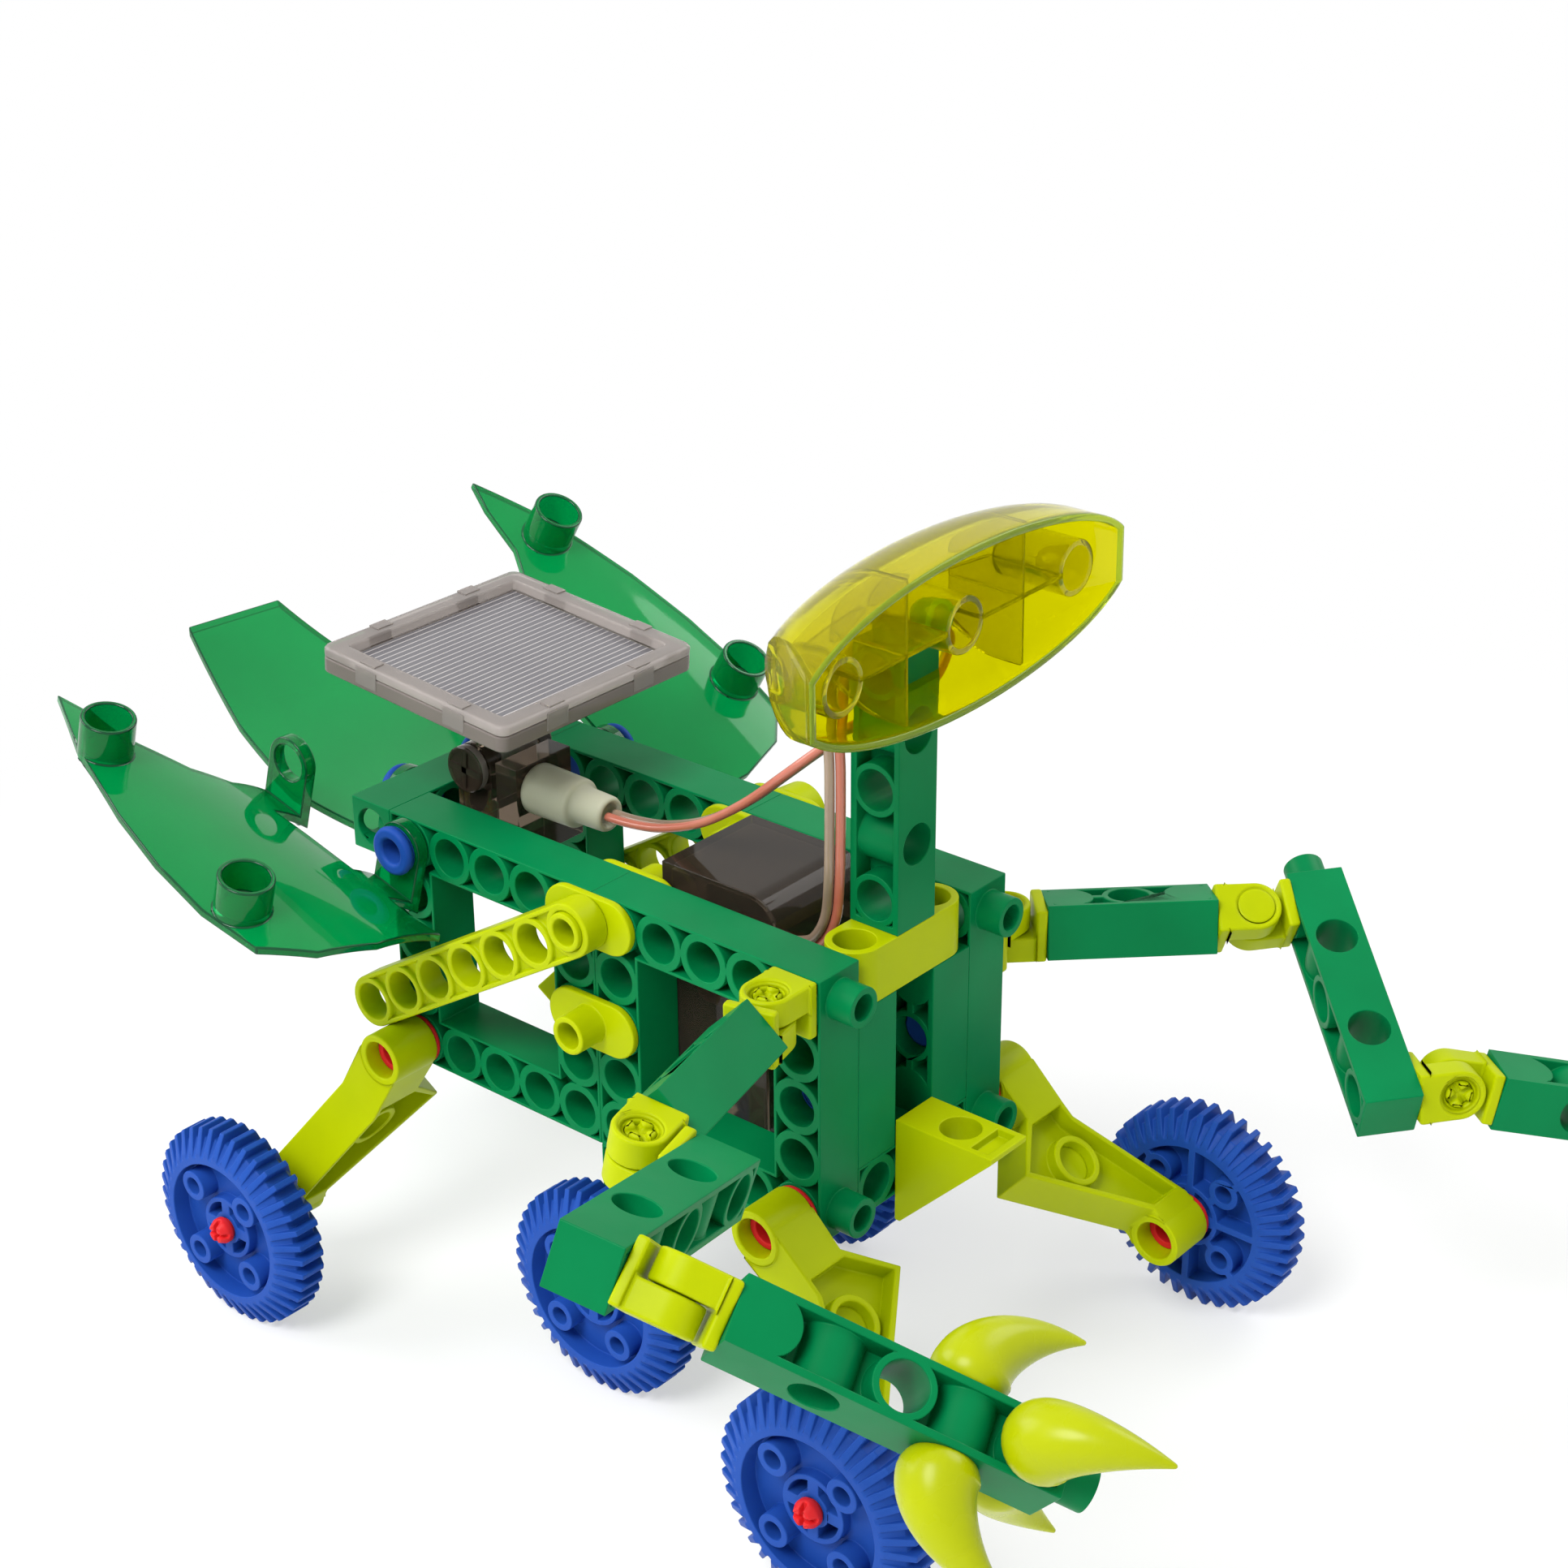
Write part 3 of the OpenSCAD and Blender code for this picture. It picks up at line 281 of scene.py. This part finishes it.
def soften(obj, width):
    weld = obj.modifiers.new("weld", "WELD")
    weld.merge_threshold = 2e-6
    flat = obj.modifiers.new("flat", "DECIMATE")
    flat.decimate_type = "DISSOLVE"
    flat.angle_limit = math.radians(0.5)
    bevel = obj.modifiers.new("edges", "BEVEL")
    bevel.width = width * MM
    bevel.segments = 2
    bevel.limit_method = "ANGLE"
    bevel.angle_limit = math.radians(28)
    bevel.use_clamp_overlap = False
    even_normals(obj)


for name, obj in NODE.items():
    obj.data.materials.clear()
    obj.data.materials.append(DARK_SMOKE if name in DARK_SMOKE_NODES else LOOK[SLOT[name]])
    soften(obj, edge_width(name))
    # Clear green parts get the dark colour on their rounded bevel faces: painted edge shade
    if SLOT[name] == "clear_green":
        obj.data.materials.append(PAINTED_SHADE_ON_GREEN_BEVELS)
        obj.modifiers["edges"].material = 1


# Shapes: lists of points in millimetres, and of faces
def turn(axis, angle):
    return Matrix.Rotation(math.radians(angle), 4, axis)


def shift(x, y=0, z=0):
    return Matrix.Translation((x, y, z))


def circle(sides):
    angles = [2 * math.pi * i / sides for i in range(sides)]
    return [(math.cos(a), math.sin(a)) for a in angles]


def tube_faces(rings, sides):
    faces = []
    for j in range(rings - 1):
        for i in range(sides):
            a = j * sides + i
            b = j * sides + (i + 1) % sides
            faces.append((a, b, b + sides, a + sides))
    faces.append(tuple(reversed(range(sides))))
    faces.append(tuple((rings - 1) * sides + i for i in range(sides)))
    return faces


def lathe(profile, sides):
    points = [(x, r * c, r * s) for x, r in profile for c, s in circle(sides)]
    return points, tube_faces(len(profile), sides)


def box(x0, x1, y0, y1, z0, z1):
    corners = ((x0, y0), (x1, y0), (x1, y1), (x0, y1))
    points = [(x, y, z) for z in (z0, z1) for x, y in corners]
    sides = [(i, (i + 1) % 4, (i + 1) % 4 + 4, i + 4) for i in range(4)]
    return points, [(3, 2, 1, 0), (4, 5, 6, 7)] + sides


def put(where, shape):
    return [where @ Vector(p) for p in shape[0]], shape[1]


def joined(shapes):
    points, faces = [], []
    for more_points, more_faces in shapes:
        first = len(points)
        points += more_points
        faces += [tuple(first + i for i in face) for face in more_faces]
    return points, faces


def in_metres(where):
    return STAND @ Matrix.Scale(MM, 4) @ where


def piece(name, shape, mats, body, where=Matrix(), smooth=True, pick=None):
    mesh = bpy.data.meshes.new(name)
    points, faces = put(in_metres(where), shape)
    mesh.from_pydata(points, [], faces)
    shell = bmesh.new()
    shell.from_mesh(mesh)
    bmesh.ops.recalc_face_normals(shell, faces=shell.faces)
    shell.to_mesh(mesh)
    shell.free()
    for mat in mats:
        mesh.materials.append(mat)
    for index, face in enumerate(mesh.polygons):
        face.use_smooth = smooth
        face.material_index = pick[index] if pick else 0
    mesh.update()
    obj = bpy.data.objects.new(name, mesh)
    scene.collection.objects.link(obj)
    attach(obj, body)
    return obj


# Twin wire: two moulded strands side by side on one route
ROUTE = [
    (-65.9, -3.2, 26.3), (-60, -3.4, 26.8), (-52, -3.8, 28.6), (-42, -4.4, 33), (-32, -5, 40),
    (-24, -5.2, 47), (-18, -3.6, 52.6), (-14.2, 2, 56.4), (-12.6, 12, 57.2), (-12.4, 20.5, 59.5),
    (-12.4, 23.5, 65.5), (-12.4, 18, 70.5), (-12.6, 8, 71.5), (-12.6, -1.5, 69.5),
    (-12.2, -6.4, 62), (-11.6, -7, 52), (-11.6, -7, 42), (-11.8, -7, 32), (-12.6, -7, 25),
    (-15.4, -7, 20), (-19.5, -7, 18),
]
STRAND_OFFSETS = (-0.9, 0.9)
STRAND_HALF_WIDTH = 0.86
STRAND_HALF_DEPTH = 0.8
STRAND_SIDES = 16


def bend(a, b, c, d, t):
    return 0.5 * (2 * b + (c - a) * t + (2 * a - 5 * b + 4 * c - d) * t * t
                  + (3 * b - a - 3 * c + d) * t * t * t)


def smooth_line(route, steps):
    p = [Vector(q) for q in route]
    last = len(p) - 1
    line = [bend(p[max(i - 1, 0)], p[i], p[i + 1], p[min(i + 2, last)], k / steps)
            for i in range(last) for k in range(steps)]
    return line + [p[last]]


def twin_wire():
    line = smooth_line(ROUTE, steps=6)
    side = Vector((0, 1, 0))
    rings = []
    for k, spot in enumerate(line):
        way = (line[min(k + 1, len(line) - 1)] - line[max(k - 1, 0)]).normalized()
        side = (side - way * side.dot(way)).normalized()
        rings.append((spot, side.copy(), way.cross(side)))
    strands, pick = [], []
    for index, offset in enumerate(STRAND_OFFSETS):
        points = [spot + u * (offset + STRAND_HALF_WIDTH * c) + v * STRAND_HALF_DEPTH * s
                  for spot, u, v in rings for c, s in circle(STRAND_SIDES)]
        strands.append((points, tube_faces(len(rings), STRAND_SIDES)))
        pick += [index] * len(strands[-1][1])
    mats = [STRAND_RED, STRAND_COPPER]
    wire = piece("twin_wire", joined(strands), mats, "chassis", pick=pick)
    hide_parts("cord")
    path = [STAND @ (q * MM) for q in line]
    length = sum((b - a).length for a, b in zip(path, path[1:]))
    return wire, path, length


# Ivory plug: a stepped, slightly tapered grip with a rolled lip, as (x, radius)
PLUG_PROFILE = [
    (-84, 4.2), (-84, 4.5), (-83.7, 4.75), (-83.2, 4.8), (-78, 4.72), (-74, 4.62), (-73.5, 4.55),
    (-73.1, 4.3), (-73, 3.9), (-72.8, 3.6), (-72.4, 3.45), (-68, 3.36), (-66.7, 3.3), (-66.2, 3.1),
    (-66, 2.7), (-66.1, 2.3), (-66.5, 2.1), (-68, 2.0),
]
PLUG_AXIS = shift(0, -3.2, 26.3)


def plug():
    grip_shape = lathe(PLUG_PROFILE, 48)
    obj = piece("plug_grip", grip_shape, [OFFWHITE], "chassis", PLUG_AXIS)
    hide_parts("plug")
    return obj


wire, wire_path, wire_length = twin_wire()
grip = plug()


# Arms: the joints' places at rest, from the shoulder out
NEAR_HAND = (shift(-5, -32, 20) @ turn("Z", -75.6) @ shift(44) @ turn("X", -11.6) @ turn("Z", 91)
             @ shift(12) @ turn("X", 162.2) @ shift(12, 40) @ turn("X", -25.8) @ turn("Z", -24.5)
             @ shift(7) @ turn("X", -20.5))
FAR_ROD = shift(-5, 32, 10) @ turn("Z", 44.1)
FAR_ELBOW = FAR_ROD @ shift(44) @ turn("X", 37.9)
FAR_BEAM = FAR_ELBOW @ turn("Z", 5) @ shift(12) @ turn("X", 165.5)
FAR_WRIST = FAR_BEAM @ shift(12, 40) @ turn("X", 61.1)
FAR_GRIP = FAR_WRIST @ turn("Z", 16)
FAR_HAND = FAR_GRIP @ shift(7) @ turn("X", 185.5)


# Claws: curved horns on balls, four on each hand
CLAW_BALL = ((-0.3, 4.41), (0.3, 4.95), (0.9, 5.34), (1.7, 5.65))
CLAW_CURVE = [Vector(p) for p in ((-0.5, 2.5, 0), (-0.3, 6, 0), (4.5, 11.8, 0), (13.5, 14, 0))]
CLAW_STEPS = 28
CLAW_RADIUS = 5.8
CLAW_TIP = ((0.25, 0.3), (0.38, 0.12))
CLAW_SIDES = 28
CLAW_SPOTS = (45, 35)


def claw_rings():
    a, b, c, d = CLAW_CURVE
    rings = [(Vector((-0.5, y, 0)), Vector((0, 1, 0)), r) for y, r in CLAW_BALL]
    for j in range(CLAW_STEPS + 1):
        t = j / CLAW_STEPS
        w = 1 - t
        spot = w ** 3 * a + 3 * t * w * w * b + 3 * t * t * w * c + t ** 3 * d
        way = 3 * (w * w * (b - a) + 2 * w * t * (c - b) + t * t * (d - c))
        rings.append((spot, way.normalized(), CLAW_RADIUS * (1 - 0.93 * t ** 1.75)))
    end, way, _ = rings[-1]
    return rings + [(end + way * reach, way, r) for reach, r in CLAW_TIP]


def claw():
    rings = claw_rings()
    points = []
    for spot, way, r in rings:
        across = Vector((-way.y, way.x, 0))
        points += [spot + r * (c * across + s * Vector((0, 0, 1))) for c, s in circle(CLAW_SIDES)]
    return points, tube_faces(len(rings), CLAW_SIDES)


def claws(name, hand, body):
    places = [turn("X", 90 * k) @ shift(CLAW_SPOTS[k % 2], 5) for k in range(4)]
    shape = joined(put(where, claw()) for where in places)
    obj = piece(name, shape, [CLAW], body, hand)
    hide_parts(name.replace("horns", "claws"))


claws("near_horns", NEAR_HAND, "near_grip")
claws("far_horns", FAR_HAND, "far_grip")


# Far arm: pieces that lie turned over in the photograph, made from their solids' shapes
WRIST_REACH = 20
BEAM_MIDDLE = 20
OVER = turn("X", 180)
END_FOR_END = shift(0, BEAM_MIDDLE) @ turn("Z", 180) @ shift(0, -BEAM_MIDDLE)
ELBOW_CAP = [(4.65, 2.6), (4.65, 3.2), (4.85, 3.28), (4.95, 3.15), (5.0, 2.9), (5.02, 1.2)]


def turned_over(name, source, body, where, spin, reach=math.inf):
    mesh = NODE[source].data.copy()
    spot = in_metres(where)
    back, swing = spot.inverted(), spot @ spin @ spot.inverted()
    for vertex in mesh.vertices:
        if (back @ vertex.co).length < reach:
            vertex.co = swing @ vertex.co
    mesh.update()
    obj = bpy.data.objects.new(name, mesh)
    scene.collection.objects.link(obj)
    soften(obj, edge_width(source))
    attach(obj, body)
    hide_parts(source)


turned_over("far_short_rod", "far_rod", "far_upper", FAR_ROD, turn("X", 90))
turned_over("far_long_beam", "far_beam", "far_fore", FAR_BEAM, END_FOR_END)
turned_over("far_beam_hinge_pair", "far_beam_hinges", "far_fore", FAR_WRIST, OVER, WRIST_REACH)
turned_over("far_hand_hinge_half", "far_hand_hinge", "far_grip", FAR_GRIP, OVER)
piece("far_elbow_cap", lathe(ELBOW_CAP, 40), [LIME], "far_upper",
      FAR_ELBOW @ turn("Y", -90))


# Webs that close the middle tube of each leg
WEB_PROFILE = [(-0.7, 1.2), (-0.8, 2.6), (-1.1, 3.2), (-1.2, 3.75),
               (1.2, 3.75), (1.1, 3.2), (0.8, 2.6), (0.7, 1.2)]
FRONT_HIP, FRONT_ANGLE = -5, -40.67
REAR_HIP, REAR_ANGLE = -95, -121.85


def leg_web(name, hip, angle, mirror):
    leg = shift(hip, -26.1, -20) @ turn("X", 90) @ turn("Z", angle)
    where = Matrix.Scale(mirror, 4, (0, 1, 0)) @ leg @ shift(20.5, 0, 5.4) @ turn("Z", 90)
    piece(name + "_web", lathe(WEB_PROFILE, 40), [LIME], name, where)


for side, mirror in (("near", 1), ("far", -1)):
    leg_web(side + "_front_leg", FRONT_HIP, FRONT_ANGLE, mirror)
    leg_web(side + "_rear_leg", REAR_HIP, REAR_ANGLE, mirror)


# Head: a thin oval shell with a domed back, end walls that lean in, and tubes and ribs inside
HEAD = shift(0, 0, 80.6) @ turn("X", 1.1)
HEAD_FRONT = 11
HEAD_MID = 4
DOME = 14
HALF_HEIGHT = 13.9
HALF_LENGTH = 43
WALL = 1.5
RIM_ROUND = 0.35
END_REACH = 40.4
END_LEAN = 0.5565
INNER_X = (-7.6, -6.8, -5.6, -4, -2, 0, 2, 3.5, 5, 7, 9, 10.6)
OUTER_X = (10.6, 9, 7, 5, 3.5, 2, 0, -2, -4, -5.6, -7, -8.1, -8.9, -9.5, -9.85)
OVAL_STEPS = 36
END_STEPS = 8
TUBE_PROFILE = [(-7.5, 4.9), (8.4, 4.9), (8.7, 4.7), (8.7, 3.9), (8.4, 3.7), (-6.5, 3.7)]
TUBE_BACKS = {-30: -4.5, 0: -6.5, 30: -4.5}
TUBE_REACH = 39.2
RIB_HALF = 0.45
RIB_FRONT = 8.8
SHELF_STEPS = 12


def dome_share(x):
    return math.sqrt(max(1 - (max(HEAD_MID - x, 0) / DOME) ** 2, 0.0004))


def head_loop(x, inset):
    share = dome_share(x - (inset if x < HEAD_MID else 0))
    half, long = HALF_HEIGHT * share - inset, HALF_LENGTH * share - inset
    stop = min(END_REACH - END_LEAN * (HEAD_FRONT - x) - inset, 0.995 * long)
    lip = half * math.sqrt(1 - (stop / long) ** 2)
    top = []
    for i in range(OVAL_STEPS + 1):
        y = stop * math.cos(math.pi * i / OVAL_STEPS)
        top.append((y, half * math.sqrt(1 - (y / long) ** 2)))
    wall = [(-stop, lip * (1 - 2 * i / END_STEPS)) for i in range(1, END_STEPS)]
    ring = top + wall + [(-y, -z) for y, z in top] + [(-y, -z) for y, z in wall]
    return [(x, y, z) for y, z in ring]


def head_height(x, y, inset):
    share = dome_share(x)
    half = max(HALF_HEIGHT * share - inset, 0.2)
    return half * math.sqrt(max(1 - (y / (HALF_LENGTH * share)) ** 2, 0.001))


def head_tube(y):
    ring, faces = lathe(TUBE_PROFILE, 40)
    points = []
    for x, v, w in ring:
        wall = HEAD_FRONT - (TUBE_REACH - abs(v + y)) / END_LEAN
        points.append((max(x, wall, TUBE_BACKS[y]), v + y, w))
    return points, faces


def head_rib(y):
    side = [(x, head_height(x, y, 1.1)) for x in (RIB_FRONT - 0.9 * i for i in range(17))]
    outline = side + [(x, -z) for x, z in reversed(side)]
    points = [(x, y + w, z) for w in (-RIB_HALF, RIB_HALF) for x, z in outline]
    return points, tube_faces(2, len(outline))


def head_shelf(low, high):
    ys = [low + (high - low) * i / SHELF_STEPS for i in range(SHELF_STEPS + 1)]
    outline = [(RIB_FRONT, y) for y in ys]
    outline += [(HEAD_MID + 1.2 - DOME * math.sqrt(1 - (y / HALF_LENGTH) ** 2), y)
                for y in reversed(ys)]
    points = [(x, y, w) for w in (-RIB_HALF, RIB_HALF) for x, y in outline]
    return points, tube_faces(2, len(outline))


def head_shell():
    loops = [head_loop(x, WALL) for x in INNER_X]
    loops += [head_loop(HEAD_FRONT, WALL - RIM_ROUND), head_loop(HEAD_FRONT, RIM_ROUND)]
    loops += [head_loop(x, 0.0) for x in OUTER_X]
    count = len(loops[0])
    shell = [p for loop in loops for p in loop], tube_faces(len(loops), count)
    shape = joined([shell] + [head_tube(y) for y in TUBE_BACKS] + [head_rib(y) for y in (-15, 15)]
                   + [head_shelf(-26, -4.5), head_shelf(4.5, 26)])
    # The rim's faces take the second material, the darker lime: painted rim shade
    rim = range((len(INNER_X) - 1) * count, (len(INNER_X) + 2) * count)
    pick = [1 if face in rim else 0 for face in range(len(shape[1]))]
    mats = [CLEAR_LIME, PAINTED_SHADE_ON_LIME_RIM]
    obj = piece("head_shell", shape, mats, "chassis", HEAD, pick=pick)
    even_normals(obj)
    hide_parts("head")


head_shell()


# Panel: a clear rounded frame round the cell, the clips on it, and a cap on the tilt hinge
TILT = shift(-95.5, 0, 29) @ turn("Y", 4.5)
PANEL = TILT @ shift(0.7, 0, 20)
# Frame loops as (length, corner radius, height); the panel is wider than it is long
LID_LOOPS = [
    (45.4, 1.8, 0.02), (46, 2, 0.3), (46, 2, 1.45), (45.4, 1.8, 1.85), (44.4, 1.6, 2),
    (39.4, 0.8, 2), (38.9, 0.7, 1.85), (38.6, 0.6, 1.4), (38.4, 0.6, 0.3), (38.2, 0.6, 0.02),
]
WIDER = 3
CORNER_STEPS = 6
CLIP_REACH = (23, 24.5)
CLIP_SIDES = (-11, 11)
CAP_LOOPS = [(4.4, 0), (4.4, 0.25), (4.15, 0.45), (3.7, 0.45), (3.6, 0.2)]
CAP_FACE = -10


def rounded(length, radius, z):
    out = []
    for k, (sx, sy) in enumerate(((1, 1), (-1, 1), (-1, -1), (1, -1))):
        x, y = sx * (length / 2 - radius), sy * ((length + WIDER) / 2 - radius)
        for i in range(CORNER_STEPS + 1):
            a = math.radians(90 * k + 90 * i / CORNER_STEPS)
            out.append((x + radius * math.cos(a), y + radius * math.sin(a), z))
    return out


def panel_frame():
    loops = [rounded(*loop) for loop in LID_LOOPS]
    count = len(loops[0])
    points = [p for loop in loops for p in loop]
    faces = []
    for j in range(len(loops)):
        here, after = j * count, (j + 1) % len(loops) * count
        for i in range(count):
            k = (i + 1) % count
            faces.append((here + i, here + k, after + k, after + i))
    obj = piece("lid_frame", (points, faces), [LID], "panel", PANEL)
    even_normals(obj)
    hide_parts("panel_lid")


def panel_clips():
    boxes = []
    for k in range(4):
        reach = CLIP_REACH[k % 2]
        for s in CLIP_SIDES:
            top = box(reach - 2.6, reach - 0.3, s - 1.9, s + 1.9, 1.9, 2.25)
            skirt = box(reach - 0.35, reach + 0.12, s - 2.6, s + 2.6, -2.2, 1.2)
            boxes += [put(turn("Z", 90 * k), top), put(turn("Z", 90 * k), skirt)]
    obj = piece("lid_clips", joined(boxes), [LID], "panel", PANEL, smooth=False)
    edge = obj.modifiers.new("edges", "BEVEL")
    edge.width = 0.1 * MM
    edge.segments = 2


def tilt_cap():
    points = [(r * c, CAP_FACE - y, r * s) for r, y in CAP_LOOPS for c, s in circle(48)]
    bar = box(-3.8, 3.8, CAP_FACE - 0.5, CAP_FACE - 0.05, -0.6, 0.6)
    shapes = [(points, tube_faces(len(CAP_LOOPS), 48))]
    shapes += [put(turn("Y", angle), bar) for angle in (0, 90)]
    piece("tilt_cap", joined(shapes), [DARK_SMOKE], "panel", TILT, smooth=False)


panel_frame()
panel_clips()
tilt_cap()


# Floor, light and backdrop
FLOOR_REACH = 6
FLOOR_FADE = {"From Min": 0.12, "From Max": 0.4, "To Min": 0.5, "To Max": 1.0}
SKY_LIGHT = 0.55
LAMP_TARGET = (-0.02, 0, 0)


def background_rays(tree):
    path = node(tree, "LightPath")
    seen = path.outputs["Is Camera Ray"]
    for ray in ("Is Transmission Ray", "Is Glossy Ray"):
        either = node(tree, "Math", [(0, seen), (1, path.outputs[ray])], operation="MAXIMUM")
        seen = either.outputs[0]
    return seen


def floor():
    mesh = bpy.data.meshes.new("floor")
    corners = [(x * FLOOR_REACH, y * FLOOR_REACH, cad_box[0].z)
               for x, y in ((-1, -1), (1, -1), (1, 1), (-1, 1))]
    mesh.from_pydata(corners, [], [(0, 1, 2, 3)])
    obj = bpy.data.objects.new("floor", mesh)
    scene.collection.objects.link(obj)
    mat, tree, bsdf = material("floor")
    where = place(tree)
    colour = mottle(tree, where, (0.9, 0.9, 0.9), (0.93, 0.93, 0.93), scale=3, detail=2.0)
    tree.links.new(colour, bsdf.inputs["Base Color"])
    bsdf.inputs["Roughness"].default_value = 0.9
    # White far from the object, half as much under it, where its shadow stays
    glow = node(tree, "Emission", Strength=1.0)
    flat = node(tree, "VectorMath", [(0, where)], operation="MULTIPLY")
    flat.inputs[1].default_value = (1, 1, 0)
    away = node(tree, "VectorMath", [(0, flat.outputs[0])], operation="LENGTH")
    fade = node(tree, "MapRange", [("Value", away.outputs["Value"])],
                interpolation_type="SMOOTHSTEP", **FLOOR_FADE)
    part = node(tree, "Math", [(0, background_rays(tree)), (1, fade.outputs["Result"])],
                operation="MULTIPLY")
    mix = node(tree, "MixShader",
               [(0, part.outputs[0]), (1, bsdf.outputs[0]), (2, glow.outputs[0])])
    tree.links.new(mix.outputs[0], tree.nodes["Material Output"].inputs[0])
    obj.data.materials.append(mat)


def lamp(name, spot, size, power):
    data = bpy.data.lights.new(name, "AREA")
    data.shape = "DISK"
    data.size = size
    data.energy = power
    obj = bpy.data.objects.new(name, data)
    scene.collection.objects.link(obj)
    obj.location = spot
    obj.rotation_mode = "QUATERNION"
    obj.rotation_quaternion = (Vector(LAMP_TARGET) - Vector(spot)).to_track_quat("-Z", "Y")


def world():
    made = bpy.data.worlds.new("studio")
    scene.world = made
    made.use_nodes = True
    tree = made.node_tree
    tree.nodes.clear()
    power = spread(tree, background_rays(tree), SKY_LIGHT, 1.0)
    sky = node(tree, "Background", [("Strength", power)], Color=(1, 1, 1, 1))
    node(tree, "OutputWorld", [("Surface", sky.outputs[0])])


floor()
world()
lamp("key", (0.1, -0.9, 1.1), size=0.7, power=16)
lamp("side", (-1.0, -0.5, 0.7), size=0.8, power=7)
lamp("rim", (0.3, 1.0, 0.9), size=0.8, power=6)
